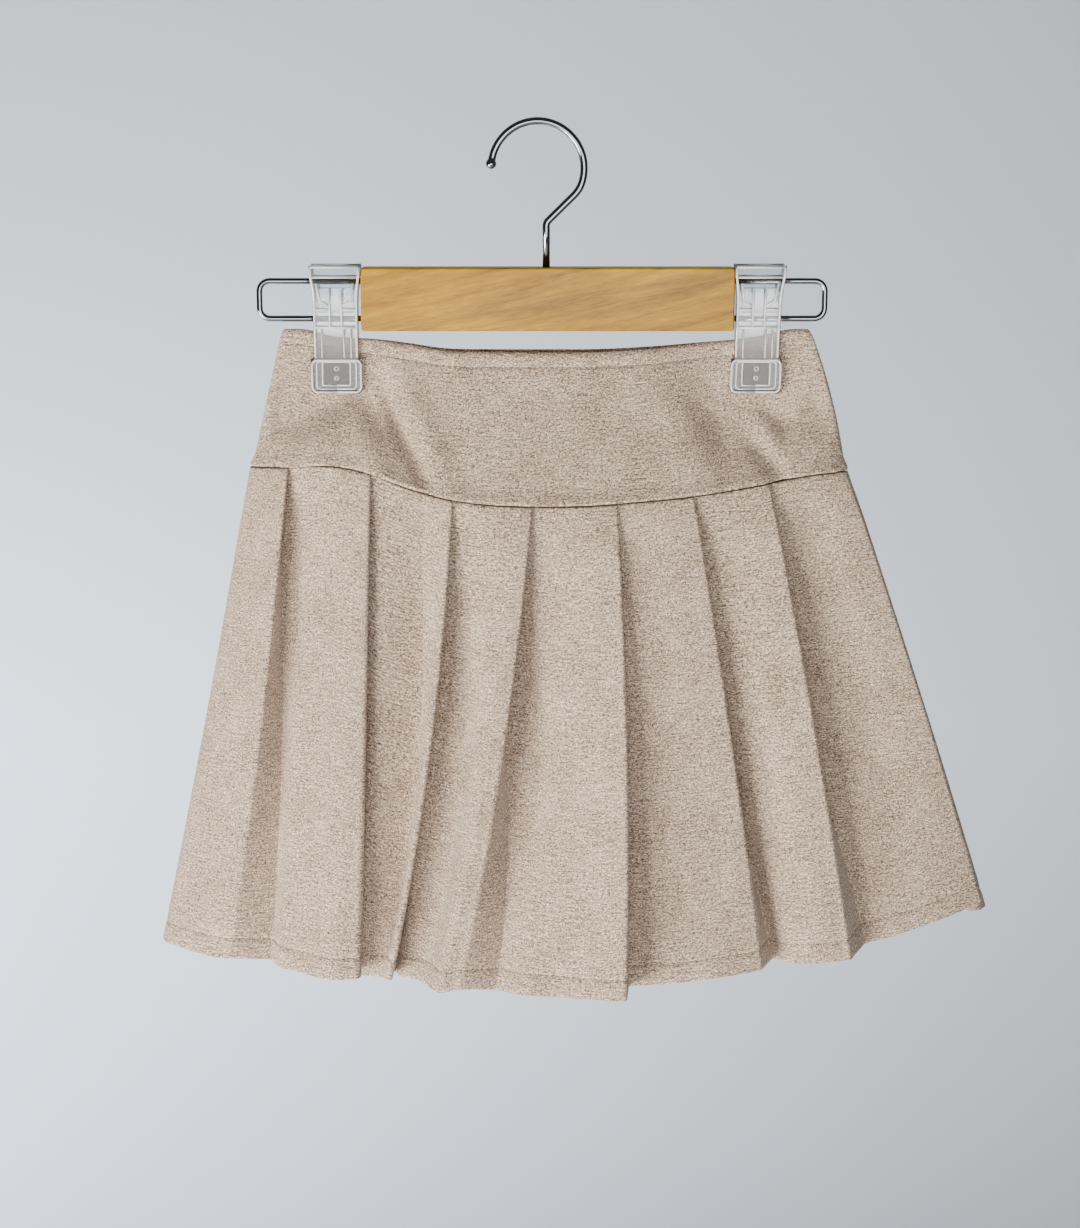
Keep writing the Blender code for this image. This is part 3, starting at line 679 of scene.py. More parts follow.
def panel_section(first, last, t):
    """Middle line of one pleated panel at a level, from its first side seam to its last."""
    folds = folds_at(t)
    indices = [i % len(folds) for i in range(first, last + 1)]
    points = []
    for step, (a, b) in enumerate(zip(indices, indices[1:])):
        heading = heading_between(folds[a], folds[b])
        if not points:
            points.append((*on_fold(folds[a], heading), folds[a].height))
        if b in faces:
            pleat, follow = faces[b]
            points += straight_points(folds[a], folds[b], FACE_POINTS, t, pleat, follow)
        else:
            points += straight_points(folds[a], folds[b], UNDER_POINTS, t, None, None)
        if step == len(indices) - 2:
            points.append((*on_fold(folds[b], heading), folds[b].height))
        else:
            following = indices[step + 2]
            points += turn_points(folds[b], heading, heading_between(folds[b], folds[following]))
    return points


def outward_normals(places):
    """Unit normals of a surface given as rows of points, to the right of its rows."""
    along = np.gradient(places, axis=1)
    down = np.gradient(places, axis=0)
    normals = np.cross(down, along)
    return normals / np.maximum(np.linalg.norm(normals, axis=2, keepdims=True), 1e-9)


def panel_surface(first, last):
    """Rows of points down one pleated panel, with its hem turned up inside, and the hem's stitch line."""
    seam_section = panel_section(first, last, 0.0)
    tops = np.array([float(top_height(x)) for x, _, _ in seam_section])
    hips = np.array([float(outline_depth(x)) for x, _, _ in seam_section])
    stitch_level = 1 - HEM_STITCH_UP / PANEL_LENGTH
    near_stitches = stitch_level + np.array(ROWS_NEAR_STITCHES) / PANEL_LENGTH
    levels = np.unique(np.concatenate((np.linspace(0, 1, LEVELS), near_stitches, LEVELS_NEAR_ENDS)))
    rows = []
    for t in levels:
        section = np.array(panel_section(first, last, t))
        section[:, 2] = tops + (section[:, 2] - tops) * t
        section[:, 2] -= SEAM_DROP * (1 - ease(t / SEAM_SQUEEZE_REACH))
        roll = 1 - ease(t / SEAM_ROLL_REACH)
        squeeze = 1 - (1 - SEAM_SQUEEZE) * (1 - ease(t / SEAM_SQUEEZE_REACH))
        depth = np.abs(section[:, 1])
        rolled = hips + (depth - hips) * squeeze - SEAM_ROLL * roll
        off_side = ease(depth / SEAM_CLEAR_SIDE)
        section[:, 1] = np.sign(section[:, 1]) * (depth + (rolled - depth) * off_side)
        rows.append(section)
    places = np.array(rows)
    normals = outward_normals(places)
    dips = groove((levels - stitch_level) * PANEL_LENGTH)
    places = places - normals * dips[:, None, None]
    line = np.argmin(np.abs(levels - stitch_level))
    stitches = places[line], normals[line]

    hem, inward = places[-1], -normals[-1]
    fall = places[-1] - places[-2]
    fall /= np.linalg.norm(fall, axis=1, keepdims=True)
    turned = []
    for degrees in HEM_TURN_ANGLES:
        angle = math.radians(degrees)
        turned.append(hem + fall * HEM_TURN * math.sin(angle) + inward * HEM_TURN * (1 - math.cos(angle)))
    for up in HEM_ROWS:
        t = 1 - up / PANEL_LENGTH
        i = min(np.searchsorted(levels, t), len(levels) - 1)
        share = (t - levels[i - 1]) / (levels[i] - levels[i - 1])
        level = places[i - 1] + (places[i] - places[i - 1]) * share
        turned.append(level - normals[i] * 2 * HEM_TURN)

    body = -np.sign(places[0]) * (0, 1, 0)
    tucked = [places[0] + body * inward + (0, 0, lift) for inward, lift in PANEL_TUCK]
    return np.concatenate((tucked, places, turned)), stitches


LEFT_SEAM, RIGHT_SEAM, LAST_SEAM = -1, 2 * FRONT_PLEATS, 2 * len(PLEATS) + 1
skirt_panels, hem_lines = [], []
skirt_pieces = (("front_skirt_panel", "pleats_front", LEFT_SEAM, RIGHT_SEAM, 1.4),
                ("back_skirt_panel", "pleats_back", RIGHT_SEAM, LAST_SEAM, 2.4))
for name, node, first, last, first_metre in skirt_pieces:
    places, stitch_line = panel_surface(first, last)
    panel = make_sheet(name, places, True, first_metre)
    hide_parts(node)
    skirt_panels.append(panel)
    hem_lines.append(stitch_line)


# Topstitching
# Lockstitch in matching polyester thread, 3 mm to the stitch: a line below the waist edge and one above the
# hem. Each stitch lies in the soft groove that its tension pulls into the knit.
STITCH_PITCH = 3.0
STITCH_LENGTH = 2.3
STITCH_SUNK = 0.05
THREAD = 0.55
WAIST_LINE_END = 0.985
WAIST_LINE_POINTS = 160


def add_stitches(bm, line, normals):
    """Short rounded stitches along a line, lying on the cloth's outer face."""
    steps = np.linalg.norm(np.diff(line, axis=0), axis=1)
    run = np.concatenate(([0.0], np.cumsum(steps)))
    for place in np.arange(STITCH_PITCH / 2, run[-1] - STITCH_PITCH / 2, STITCH_PITCH):
        i = min(np.searchsorted(run, place), len(run) - 1)
        share = (place - run[i - 1]) / (run[i] - run[i - 1])
        centre = line[i - 1] + (line[i] - line[i - 1]) * share
        normal = normals[i - 1] + (normals[i] - normals[i - 1]) * share
        along = Vector(line[i] - line[i - 1]).normalized()
        out = Vector(normal)
        out = (out - along * out.dot(along)).normalized()
        middle = Vector(centre) + out * (CLOTH / 2 - STITCH_SUNK)
        turn = Matrix((along, out.cross(along), out)).transposed().to_4x4()
        size = Matrix.Diagonal((STITCH_LENGTH / 2, THREAD / 2, THREAD / 2, 1))
        bmesh.ops.create_uvsphere(bm, u_segments=6, v_segments=4, radius=MM,
                                  matrix=Matrix.Translation(middle * MM) @ turn @ size
                                  @ Matrix.Rotation(math.pi / 2, 4, "Y"))


# Polyester sewing thread: a little darker and smoother than the knit, with a slight lustre.
PLIES_PER_MM = 1.8
thread, tree, shader = new_finish("polyester sewing thread")
thread_place = add_node(tree, "ShaderNodeTexCoord").outputs["Object"]
ply = add_node(tree, "ShaderNodeTexWave", {"Scale": 1000 * PLIES_PER_MM, "Distortion": 1.0},
               Vector=thread_place)
colour = add_node(tree, "ShaderNodeValToRGB", Fac=ply.outputs["Fac"])
set_stops(colour, ((0.0, "#57473a"), (1.0, "#6e5c4c")))
tree.links.new(colour.outputs["Color"], shader.inputs["Base Color"])
shader.inputs["Roughness"].default_value = 0.6


def sew(name, line, normals):
    """A line of stitches as one piece."""
    bm = bmesh.new()
    add_stitches(bm, line, normals)
    stitches = make_object(name, bm, (thread,))
    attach(stitches, "root")
    return stitches


for name, (line, normals) in zip(("front_hem_stitches", "back_hem_stitches"), hem_lines):
    sew(name, line, normals)

for side, name in ((-1, "front_waist_stitches"), (1, "back_waist_stitches")):
    line = []
    for across in np.linspace(-WAIST_LINE_END, WAIST_LINE_END, WAIST_LINE_POINTS):
        drop = waist_height(across) - seam_height(across)
        line.append(yoke_place(across, WAIST_STITCH_DOWN / drop, side))
    sew(name, np.array(line), np.tile((0.0, side, 0.0), (len(line), 1)))


# Hanger bar
# A flat bar of pale beech, planed, with its long edges eased, under a clear satin varnish.
# The hook and the two wire loops are driven into its top and ends.
BAR_LENGTH = 194.2
BAR_SHIFT = 0.8
BAR_HEIGHT = 33.0
BAR_DEPTH = 13.0
BAR_CENTRE = -88.9
BAR_EASED = 1.0
BAR_CORNER = 1.4
BAR_SNUG = 0.6


def edge_depth(edge):
    """How far an edge runs from front to back."""
    return abs(edge.verts[0].co.y - edge.verts[1].co.y)


bm = bmesh.new()
bmesh.ops.create_cube(bm, size=1.0)
bar_size = ((BAR_LENGTH + 2 * BAR_SNUG) * MM, BAR_DEPTH * MM, BAR_HEIGHT * MM)
bmesh.ops.scale(bm, vec=bar_size, verts=bm.verts)
corners = [e for e in bm.edges if edge_depth(e) > BAR_DEPTH / 2 * MM]
bmesh.ops.bevel(bm, geom=corners, offset=BAR_CORNER * MM, segments=6, profile=0.5,
                affect="EDGES", material=-1)
rims = [e for e in bm.edges if edge_depth(e) < MM / 1000]
bmesh.ops.bevel(bm, geom=rims, offset=BAR_EASED * MM, segments=5, profile=0.5,
                affect="EDGES", material=-1)
bmesh.ops.translate(bm, vec=(BAR_SHIFT * MM, 0.0, BAR_CENTRE * MM), verts=bm.verts)

# Varnished beech: pale warm wood with fine dark pores drawn out along the bar and slow bands of growth.
PORE_LENGTH = 7.0
PORE_WIDTH = 0.6
PORE_DEPTH = 0.2
PORE_SHARE = 0.35
BAND_LENGTH = 60.0
BAND_WIDTH = 5.0
BAND_SHARE = 0.65
GRAIN_SLOPE = 0.22
beech, tree, shader = new_finish("varnished beech")
bar_place = add_node(tree, "ShaderNodeTexCoord").outputs["Object"]
along_grain = add_node(tree, "ShaderNodeMapping", {"Rotation": (0, GRAIN_SLOPE, 0)}, Vector=bar_place)
pores_at = add_node(tree, "ShaderNodeMapping",
                    {"Scale": (1000 / PORE_LENGTH, 1000 / PORE_WIDTH, 1000 / PORE_WIDTH)},
                    Vector=along_grain.outputs["Vector"])
pores = add_node(tree, "ShaderNodeTexNoise", {"Scale": 1.0, "Detail": 3.0, "Roughness": 0.6},
                 Vector=pores_at.outputs["Vector"])
bands_at = add_node(tree, "ShaderNodeMapping",
                    {"Scale": (1000 / BAND_LENGTH, 1000 / BAND_WIDTH, 1000 / BAND_WIDTH)},
                    Vector=along_grain.outputs["Vector"])
bands = add_node(tree, "ShaderNodeTexNoise",
                 {"Scale": 1.0, "Detail": 4.0, "Roughness": 0.55, "Distortion": 0.6},
                 Vector=bands_at.outputs["Vector"])
wide = add_node(tree, "ShaderNodeMath", {"operation": "MULTIPLY", 1: BAND_SHARE}, i0=bands.outputs["Fac"])
figure = add_node(tree, "ShaderNodeMath", {"operation": "MULTIPLY_ADD", 1: PORE_SHARE},
                  i0=pores.outputs["Fac"], i2=wide.outputs[0])
colour = add_node(tree, "ShaderNodeValToRGB", Fac=figure.outputs[0])
set_stops(colour, ((0.30, "#5f3f00"), (0.44, "#8a6300"), (0.55, "#a17700"), (0.68, "#bc8e10")))
tree.links.new(colour.outputs["Color"], shader.inputs["Base Color"])
raised = add_node(tree, "ShaderNodeBump", {"Strength": 0.15, "Distance": PORE_DEPTH * MM},
                  Height=pores.outputs["Fac"])
tree.links.new(raised.outputs["Normal"], shader.inputs["Normal"])
shader.inputs["Roughness"].default_value = 0.42
shader.inputs["Specular IOR Level"].default_value = 0.3
shader.inputs["Coat Weight"].default_value = 0.12
shader.inputs["Coat Roughness"].default_value = 0.25

bar = make_object("beech_bar", bm, (beech,))
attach(bar, "root")
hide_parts("hanger_bar")


# Hook and wire loops
# Steel wire, bent cold and chrome plated: the hook ends in a ball so that it catches nothing.
# Each loop is one bent wire with both ends driven into the bar, and a clip slides on it.
HOOK_WIRE = 4.0
HOOK_RADIUS = 24.1
HOOK_OFFSET = -4.5
HOOK_JOIN = -14
HOOK_END = 172
HOOK_STEP = 4
HOOK_BALL = 5.6
BALL_STEPS = 14
BALL_END = 176
STEM_IN_BAR = 4.0
LOOP_IN_BAR = 5.0
LOOP_WIRE = 3.2
LOOP_TOP = -79.7
LOOP_BOTTOM = -99.3
LOOP_CORNER = 5.4
LOOP_LEFT_END = -151.9
LOOP_RIGHT_END = 147.6
WIRE_SIDES = 20
ROUTE_STEPS = 10

# The two bends between stem and ring: x, height from the ring's middle, and the radius of the bend.
Bend = namedtuple("Bend", "x from_ring radius")
LOW_BEND = Bend(0.0, -27.9, 4.0)
HIGH_BEND = Bend(17.6, -10.7, 16.0)


def rounded_route(corners, steps=ROUTE_STEPS):
    """Route through corners given as x, z and the radius of the bend there."""
    route = [corners[0][:2]]
    for before, corner, after in zip(corners, corners[1:], corners[2:]):
        here = np.array(corner[:2], dtype=float)
        way_in = here - np.array(before[:2])
        way_out = np.array(after[:2]) - here
        way_in /= np.linalg.norm(way_in)
        way_out /= np.linalg.norm(way_out)
        turn = math.acos(float(np.clip(np.dot(way_in, way_out), -1, 1)))
        reach = corner[2] * math.tan(turn / 2)
        side = way_in[0] * way_out[1] - way_in[1] * way_out[0]
        normal = np.array((-way_in[1], way_in[0])) * (1 if side > 0 else -1)
        centre = here - way_in * reach + normal * corner[2]
        for i in range(steps + 1):
            angle = turn * i / steps
            spoke = -normal * math.cos(angle) + way_in * math.sin(angle)
            route.append(tuple(centre + spoke * corner[2]))
    route.append(corners[-1][:2])
    return route


def draw_round(bm, points, radii, sides):
    """A round section drawn along a route: one ring extruded from point to point, with capped ends."""
    points = [Vector(p) for p in points]
    ring = bmesh.ops.create_circle(bm, segments=sides, radius=1.0, cap_ends=True)["verts"]
    spokes = [Vector((v.co.x, v.co.y)) for v in ring]
    ways = []
    for i in range(len(points)):
        before, after = points[max(i - 1, 0)], points[min(i + 1, len(points) - 1)]
        ways.append((after - before).normalized())

    def place(verts, i):
        across = ways[i].cross(Vector((0, 1, 0))).normalized()
        over = across.cross(ways[i])
        for vert, spoke in zip(verts, spokes):
            vert.co = (points[i] + (across * spoke.x + over * spoke.y) * radii[i]) * MM

    place(ring, 0)
    edges = list({e for v in ring for e in v.link_edges})
    for i in range(1, len(points)):
        made = bmesh.ops.extrude_edge_only(bm, edges=edges)["geom"]
        verts = [g for g in made if isinstance(g, bmesh.types.BMVert)]
        edges = [g for g in made if isinstance(g, bmesh.types.BMEdge)]
        place(verts, i)
    bmesh.ops.contextual_create(bm, geom=edges)


def draw_wire(name, route, radii):
    """A chromed wire piece along a route in the XZ plane."""
    bm = bmesh.new()
    draw_round(bm, [(x, 0.0, z) for x, z in route], radii, WIRE_SIDES)
    bmesh.ops.recalc_face_normals(bm, faces=bm.faces)
    piece = make_object(name, bm, (chrome,))
    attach(piece, "root")
    return piece


# Chrome plate on drawn wire: a sharp mirror whose gloss changes a little from place to place.
GLOSS_MARKS_PER_MM = 0.7
chrome, tree, shader = new_finish("chrome plated wire")
wire_place = add_node(tree, "ShaderNodeTexCoord").outputs["Object"]
marks = add_node(tree, "ShaderNodeTexNoise", {"Scale": 1000 * GLOSS_MARKS_PER_MM, "Detail": 2.0},
                 Vector=wire_place)
wear = add_node(tree, "ShaderNodeMapRange", {"To Min": 0.07, "To Max": 0.16}, Value=marks.outputs["Fac"])
tree.links.new(wear.outputs["Result"], shader.inputs["Roughness"])
shader.inputs["Base Color"].default_value = linear("#808386")
shader.inputs["Metallic"].default_value = 1.0

ring_height = -math.sqrt((HOOK_RADIUS - HOOK_WIRE / 2) ** 2 - HOOK_OFFSET ** 2)
stem_foot = BAR_CENTRE + BAR_HEIGHT / 2 - STEM_IN_BAR


def on_ring(degrees):
    """Point of the hook's ring at an angle from its right side."""
    angle = math.radians(degrees)
    return HOOK_OFFSET + HOOK_RADIUS * math.cos(angle), ring_height + HOOK_RADIUS * math.sin(angle)


neck = [(bend.x, ring_height + bend.from_ring, bend.radius) for bend in (LOW_BEND, HIGH_BEND)]
route = rounded_route([(0.0, stem_foot), *neck, on_ring(HOOK_JOIN)])[:-1]
route += [on_ring(degrees) for degrees in range(HOOK_JOIN, HOOK_END + 1, HOOK_STEP)]
radii = [HOOK_WIRE / 2] * len(route)
tip, before = np.array(route[-1]), np.array(route[-2])
way = (tip - before) / np.linalg.norm(tip - before)
ball_start = math.asin(HOOK_WIRE / HOOK_BALL)
for i in range(1, BALL_STEPS + 1):
    angle = ball_start + (math.radians(BALL_END) - ball_start) * i / BALL_STEPS
    route.append(tuple(tip + way * HOOK_BALL / 2 * (math.cos(ball_start) - math.cos(angle))))
    radii.append(math.sin(angle) * HOOK_BALL / 2)
hook = draw_wire("chrome_hook", route, radii)
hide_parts("hanger_hook")

for name, node, side, end in (("left_wire_loop", "loop_left", -1, LOOP_LEFT_END),
                              ("right_wire_loop", "loop_right", 1, LOOP_RIGHT_END)):
    start = BAR_SHIFT + side * (BAR_LENGTH / 2 - LOOP_IN_BAR)
    far = end - side * LOOP_WIRE / 2
    bends = [(far, LOOP_TOP, LOOP_CORNER), (far, LOOP_BOTTOM, LOOP_CORNER)]
    route = rounded_route([(start, LOOP_TOP), *bends, (start, LOOP_BOTTOM)])
    loop = draw_wire(name, route, [LOOP_WIRE / 2] * len(route))
    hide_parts(node)


# Clips
# Two spring clips moulded in clear polycarbonate: a front and a back jaw on a hinge block that slides on the
# loop. A jaw is a thin plate with raised rims, a flared finger lip at the top and a framed pad that grips.
Clip = namedtuple("Clip", "name lip_x pad_x")
CLIPS = (
    Clip("left", -110.4, -110.2),
    Clip("right", 111.9, 110.2),
)
HINGE_HALF = (9.5, 1.9, 6.6)
HINGE_CENTRE = -89.6
HINGE_EASED = 0.9

# A jaw down its height: half its width, how far its inner face stands off the middle plane, and its thickness.
Jaw = namedtuple("Jaw", "height half_width inner thick")
JAW = (
    Jaw(-71.2, 13.2, 6.8, 1.5),
    Jaw(-73.5, 13.3, 6.2, 1.7),
    Jaw(-78.0, 13.0, 5.2, 1.7),
    Jaw(-84.0, 12.2, 3.9, 1.8),
    Jaw(-89.3, 11.8, 3.0, 2.0),
    Jaw(-99.3, 11.7, 1.95, 2.2),
    Jaw(-104.0, 11.7, 1.85, 2.0),
    Jaw(-119.4, 11.8, 1.7, 2.0),
    Jaw(-120.4, 13.4, 1.6, 2.4),
    Jaw(-137.0, 13.4, 1.6, 2.4),
    Jaw(-138.4, 12.2, 1.6, 1.8),
)
JAW_COLUMNS = 16
JAW_ROWS = 48

# Moulded ribs on a jaw's outer face, as routes of x from the clip's middle and z.
Rib = namedtuple("Rib", "radius route")
JAW_RIBS = (
    Rib(0.65, ((-12.6, -72.3), (-12.4, -77), (-11.4, -84), (-11.0, -90), (-10.9, -104), (-10.9, -119.3))),
    Rib(0.65, ((12.6, -72.3), (12.4, -77), (11.4, -84), (11.0, -90), (10.9, -104), (10.9, -119.3))),
    Rib(0.60, ((-12.6, -72.0), (12.6, -72.0))),
    Rib(0.45, ((-12.0, -77.4), (12.0, -77.4))),
    Rib(0.60, ((-9.6, -80.5), (-8.0, -90.0), (-3.2, -92.4))),
    Rib(0.60, ((9.6, -80.5), (8.0, -90.0), (3.2, -92.4))),
    Rib(0.50, ((-3.0, -84.0), (-3.0, -103.0))),
    Rib(0.50, ((3.2, -84.0), (3.2, -103.0))),
    Rib(0.55, ((-10.6, -94.2), (-3.0, -94.2))),
    Rib(0.55, ((3.2, -94.2), (10.6, -94.2))),
    Rib(0.65, ((-10.8, -103.6), (10.8, -103.6))),
    Rib(0.38, ((-7.4, -104.5), (-7.4, -119.5))),
    Rib(0.42, ((4.2, -104.5), (4.2, -119.5))),
    Rib(0.38, ((7.9, -104.5), (7.9, -119.5))),
)

# Raised frames round the pad, and the window in it with two small round mould marks on plain plastic.
Frame = namedtuple("Frame", "radius half_x top low corner")
PAD_FRAMES = (
    Frame(0.65, 12.8, -120.8, -137.6, 2.8),
    Frame(0.45, 10.4, -121.4, -135.9, 2.0),
    Frame(0.50, 7.3, -121.6, -134.0, 0.9),
)
FRAME_STEPS = 5
RIB_SIDES = 8
RIB_PROUD = 0.1
MOULD_MARKS = (-125.2, -130.2)
MARK_RADIUS = 1.05
MARK_RIB = 0.32
MARK_STEP = 30
WINDOW_HALF = 6.8
WINDOW_TOP = -122.1
WINDOW_LOW = -133.5
WINDOW_IN = 0.4

# Clear polycarbonate, injection moulded: glossy and bright where the rims turn the light. Below the waist edge
# its colour is painted darker, as painted shade for the light that the cloth behind takes away from the plate.
SMEARS_PER_MM = 0.09
PAINTED_SHADE_LOW = -116.0
PAINTED_SHADE_HIGH = -103.0
clear, tree, shader = new_finish("clear polycarbonate")
clip_place = add_node(tree, "ShaderNodeTexCoord").outputs["Object"]
smears = add_node(tree, "ShaderNodeTexNoise", {"Scale": 1000 * SMEARS_PER_MM, "Detail": 2.0},
                  Vector=clip_place)
gloss = add_node(tree, "ShaderNodeMapRange", {"To Min": 0.02, "To Max": 0.09}, Value=smears.outputs["Fac"])
tree.links.new(gloss.outputs["Result"], shader.inputs["Roughness"])
clip_height = add_node(tree, "ShaderNodeSeparateXYZ", Vector=clip_place)
painted_shade_share = add_node(tree, "ShaderNodeMapRange", {"From Min": PAINTED_SHADE_LOW * MM, "From Max": PAINTED_SHADE_HIGH * MM},
                      Value=clip_height.outputs["Z"])
# Painted shade: the plate's colour darkens from the waist edge down towards the pad.
painted_shade_ramp = add_node(tree, "ShaderNodeValToRGB", Fac=painted_shade_share.outputs["Result"])
set_stops(painted_shade_ramp, ((0.0, "#aeaaa7"), (1.0, "#f6f8f8")))
tree.links.new(painted_shade_ramp.outputs["Color"], shader.inputs["Base Color"])
shader.inputs["IOR"].default_value = 1.58
shader.inputs["Transmission Weight"].default_value = 1.0
shader.inputs["Alpha"].default_value = 0.95

# The same plastic on the ribs, drawn partly white: a painted highlight for the light that their rounded edges
# gather, so they read as bright lines.
RIB_SMEAR = 2.5
ribs_painted_bright, tree, shader = new_finish("clear polycarbonate ribs")
rib_place = add_node(tree, "ShaderNodeTexCoord").outputs["Object"]
smears = add_node(tree, "ShaderNodeTexNoise", {"Scale": 1000 / RIB_SMEAR, "Detail": 2.0},
                  Vector=rib_place)
gloss = add_node(tree, "ShaderNodeMapRange", {"To Min": 0.04, "To Max": 0.12}, Value=smears.outputs["Fac"])
tree.links.new(gloss.outputs["Result"], shader.inputs["Roughness"])
# The white base is the painted highlight.
shader.inputs["Base Color"].default_value = linear("#ffffff")
shader.inputs["IOR"].default_value = 1.58
shader.inputs["Transmission Weight"].default_value = 0.42

# A near-black sheet behind each pad's window, drawn as a roughened grip face of fine moulded dimples: its dark
# colour is painted shade, for the shade between plastic and cloth.
GRIP_DIMPLE = 0.6
grip_painted_shade, tree, shader = new_finish("dimpled grip face in painted shade")
grip_place = add_node(tree, "ShaderNodeTexCoord").outputs["Object"]
dimples = add_node(tree, "ShaderNodeTexVoronoi", {"Scale": 1000 / GRIP_DIMPLE}, Vector=grip_place)
shade = add_node(tree, "ShaderNodeValToRGB", Fac=dimples.outputs["Distance"])
# Near-black stops: the painted shade.
set_stops(shade, ((0.1, "#2a2a2b"), (0.8, "#363637")))
tree.links.new(shade.outputs["Color"], shader.inputs["Base Color"])
shader.inputs["Roughness"].default_value = 0.45
shader.inputs["Alpha"].default_value = 0.92

jaw_heights = column(JAW, "height")[::-1]


def jaw_value(name, z):
    """A column of the jaw's table at a height, straight between its rows."""
    return np.interp(z, jaw_heights, column(JAW, name)[::-1])


def rounded_frame(row):
    """Closed route round a pad's frame, with round corners."""
    right = [(row.half_x, row.low, row.corner), (row.half_x, row.top, row.corner)]
    left = [(-x, z, corner) for x, z, corner in reversed(right)]
    return rounded_route([(0, row.low), *right, *left, (0, row.low)], FRAME_STEPS)


def ring_route(height):
    """Closed route of a small mould mark."""
    ring = [math.radians(a) for a in range(0, 361, MARK_STEP)]
    return [(MARK_RADIUS * math.sin(a), height + MARK_RADIUS * math.cos(a)) for a in ring]


def jaw_middle(clip, z):
    """x of a jaw's middle at a height: it leans a little between its lip and its pad."""
    lean = (JAW[0].height - z) / (JAW[0].height - JAW[-1].height)
    return clip.lip_x + (clip.pad_x - clip.lip_x) * lean


def finish_clear(name, bm, node):
    """Turn a clip piece's mesh into its object."""
    bmesh.ops.recalc_face_normals(bm, faces=bm.faces)
    piece = make_object(name, bm, (clear, ribs_painted_bright, grip_painted_shade))
    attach(piece, "root")
    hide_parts(node)
    return piece


def make_jaw(clip, face, side):
    """One jaw: two sheets joined round their borders, ribs on the outer one, and the window's grip face in
    painted shade.
    """
    bm = bmesh.new()
    borders = []
    for inside in (False, True):
        made = bmesh.ops.create_grid(bm, x_segments=JAW_COLUMNS, y_segments=JAW_ROWS, size=0.5)["verts"]
        chosen = set(made)
        edges = [e for e in bm.edges if e.is_boundary and e.verts[0] in chosen and e.verts[1] in chosen]
        borders += edges
        for vert in made:
            z = JAW[-1].height + (vert.co.y + 0.5) * (JAW[0].height - JAW[-1].height)
            x = vert.co.x * 2 * jaw_value("half_width", z)
            y = jaw_value("inner", z)
            if not inside:
                y += jaw_value("thick", z)
            vert.co = Vector((jaw_middle(clip, z) + x, side * y, z)) * MM
    bmesh.ops.bridge_loops(bm, edges=borders)
    plain = len(bm.faces)
    routes = [(row.radius, row.route) for row in JAW_RIBS]
    routes += [(row.radius, rounded_frame(row)) for row in PAD_FRAMES]
    routes += [(MARK_RIB, ring_route(height)) for height in MOULD_MARKS]
    for radius, route in routes:
        points = []
        for x, z in route:
            y = jaw_value("inner", z) + jaw_value("thick", z) + RIB_PROUD
            points.append((jaw_middle(clip, z) + x, side * y, z))
        draw_round(bm, points, [radius] * len(points), RIB_SIDES)
    window = len(bm.faces)
    made = bmesh.ops.create_grid(bm, x_segments=1, y_segments=1, size=0.5)["verts"]
    for vert in made:
        x = clip.pad_x + vert.co.x * 2 * WINDOW_HALF
        z = WINDOW_LOW + (vert.co.y + 0.5) * (WINDOW_TOP - WINDOW_LOW)
        vert.co = Vector((x, side * (jaw_value("inner", z) + WINDOW_IN), z)) * MM
    bm.faces.ensure_lookup_table()
    # The ribs take the plastic with the painted highlight.
    for rib_face in bm.faces[plain:window]:
        rib_face.material_index = 1
    # The window's sheet takes the painted shade.
    for painted_shade_face in bm.faces[window:]:
        painted_shade_face.material_index = 2
    return finish_clear(f"{clip.name}_{face}_jaw", bm, f"clip_{clip.name}_{face}")


def make_hinge(clip):
    """Block between the jaws with eased edges."""
    bm = bmesh.new()
    bmesh.ops.create_cube(bm, size=2.0)
    bmesh.ops.scale(bm, vec=Vector(HINGE_HALF) * MM, verts=bm.verts)
    bmesh.ops.bevel(bm, geom=list(bm.edges), offset=HINGE_EASED * MM, segments=3, profile=0.5,
                    affect="EDGES", material=-1)
    bmesh.ops.translate(bm, vec=(clip.lip_x * MM, 0.0, HINGE_CENTRE * MM), verts=bm.verts)
    return finish_clear(f"{clip.name}_hinge", bm, f"clip_{clip.name}_hinge")


for clip in CLIPS:
    make_jaw(clip, "front", -1)
    make_jaw(clip, "back", 1)
    make_hinge(clip)


# Studio
# A pale seamless sweep behind and below, and the camera at the photograph's angle. The main soft light comes
# from the lower left, so the rolled edge over the yoke seam is bright, and a weak one fills from the front.
WALL_BACK = 1550.0
FLOOR_DOWN = -1250.0
SWEEP_RADIUS = 500.0
SWEEP_HALF = 3600.0
SWEEP_STEP = 6
CAMERA_PITCH = 12.5
CAMERA_DISTANCE = 1300.0
CAMERA_TARGET = (-3.24, 0.0, -258.25)
FOCAL_PIXELS = 2409.6
PHOTO_HEIGHT = 1228
SENSOR = 36.0
LIGHT_TARGET = (0, 0, -290)

Softbox = namedtuple("Softbox", "name place target width height watts colour")
SOFTBOXES = (
    Softbox("key softbox", (-1120, -1120, -1000), LIGHT_TARGET, 1100, 950, 101, "#fff8ee"),
    Softbox("fill softbox", (250, -1900, -300), LIGHT_TARGET, 1400, 1000, 29, "#fbfaf8"),
    Softbox("wall softbox", (-1000, 830, -1200), (-560, 1550, -960), 2100, 800, 84, "#dcebff"),
)
ROOM_COLOUR = "#e9edf2"
ROOM_STRENGTH = 0.12

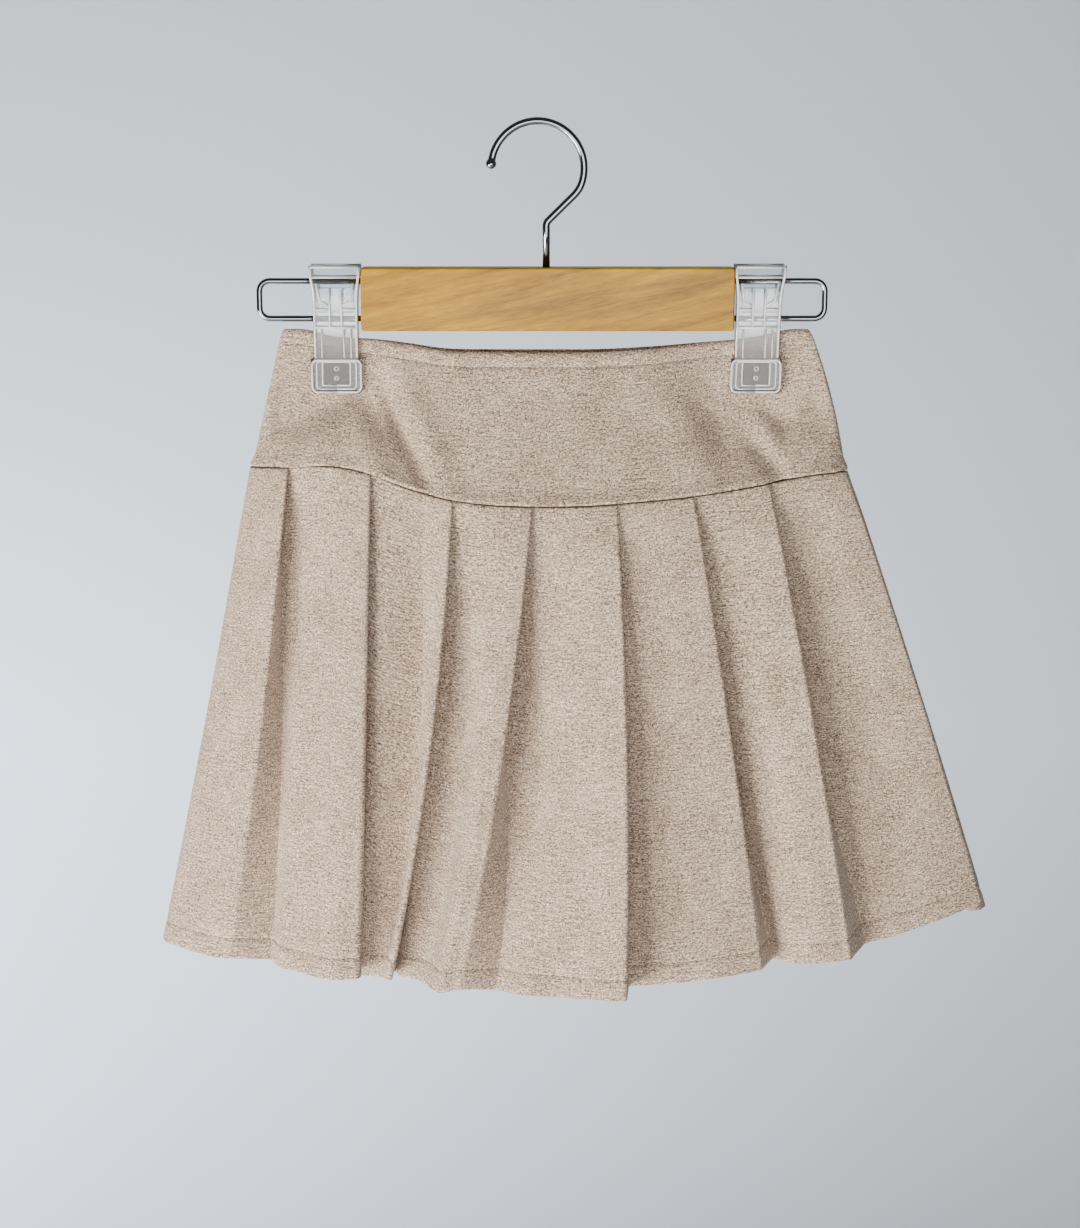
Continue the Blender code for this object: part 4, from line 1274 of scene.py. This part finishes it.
bm = bmesh.new()
profile = [bm.verts.new((-SWEEP_HALF * MM, -SWEEP_HALF * MM, FLOOR_DOWN * MM))]
for degrees in range(0, 91, SWEEP_STEP):
    angle = math.radians(degrees)
    y = WALL_BACK - SWEEP_RADIUS + SWEEP_RADIUS * math.sin(angle)
    z = FLOOR_DOWN + SWEEP_RADIUS * (1 - math.cos(angle))
    profile.append(bm.verts.new((-SWEEP_HALF * MM, y * MM, z * MM)))
profile.append(bm.verts.new((-SWEEP_HALF * MM, WALL_BACK * MM, SWEEP_HALF * MM)))
edges = [bm.edges.new(pair) for pair in zip(profile, profile[1:])]
made = bmesh.ops.extrude_edge_only(bm, edges=edges)["geom"]
moved = [g for g in made if isinstance(g, bmesh.types.BMVert)]
bmesh.ops.translate(bm, vec=(2 * SWEEP_HALF * MM, 0, 0), verts=moved)
bmesh.ops.recalc_face_normals(bm, faces=bm.faces)

# Uncoated backdrop paper: pale grey and quite matte, so that it shows soft changes of light and no shine.
paper, tree, shader = new_finish("pale backdrop paper")
shader.inputs["Base Color"].default_value = linear("#c6cacd")
shader.inputs["Roughness"].default_value = 0.95
sweep = make_object("sweep", bm, (paper,))


def add_softbox(row):
    """Rectangular area light aimed at a point."""
    data = bpy.data.lights.new(row.name, "AREA")
    data.shape = "RECTANGLE"
    data.size = row.width * MM
    data.size_y = row.height * MM
    data.energy = row.watts
    data.color = linear(row.colour)[:3]
    lamp = bpy.data.objects.new(row.name, data)
    lamp.location = Vector(row.place) * MM
    lamp.rotation_mode = "QUATERNION"
    lamp.rotation_quaternion = (Vector(row.target) - Vector(row.place)).to_track_quat("-Z", "Y")
    bpy.context.scene.collection.objects.link(lamp)


for row in SOFTBOXES:
    add_softbox(row)

room = bpy.data.worlds.new("studio")
bpy.context.scene.world = room
room.use_nodes = True
air = room.node_tree.nodes["Background"]
air.inputs["Color"].default_value = linear(ROOM_COLOUR)
air.inputs["Strength"].default_value = ROOM_STRENGTH

# The photograph is 1080 by 1228 pixels, so its height takes the whole width of the sensor.
pitch = math.radians(CAMERA_PITCH)
data = bpy.data.cameras.new("camera")
data.sensor_width = SENSOR
data.lens = SENSOR * FOCAL_PIXELS / PHOTO_HEIGHT
camera = bpy.data.objects.new("camera", data)
back = Vector((0, -math.cos(pitch), math.sin(pitch)))
camera.location = (Vector(CAMERA_TARGET) + back * CAMERA_DISTANCE) * MM
camera.rotation_mode = "QUATERNION"
camera.rotation_quaternion = (-back).to_track_quat("-Z", "Y")
bpy.context.scene.collection.objects.link(camera)
bpy.context.scene.camera = camera
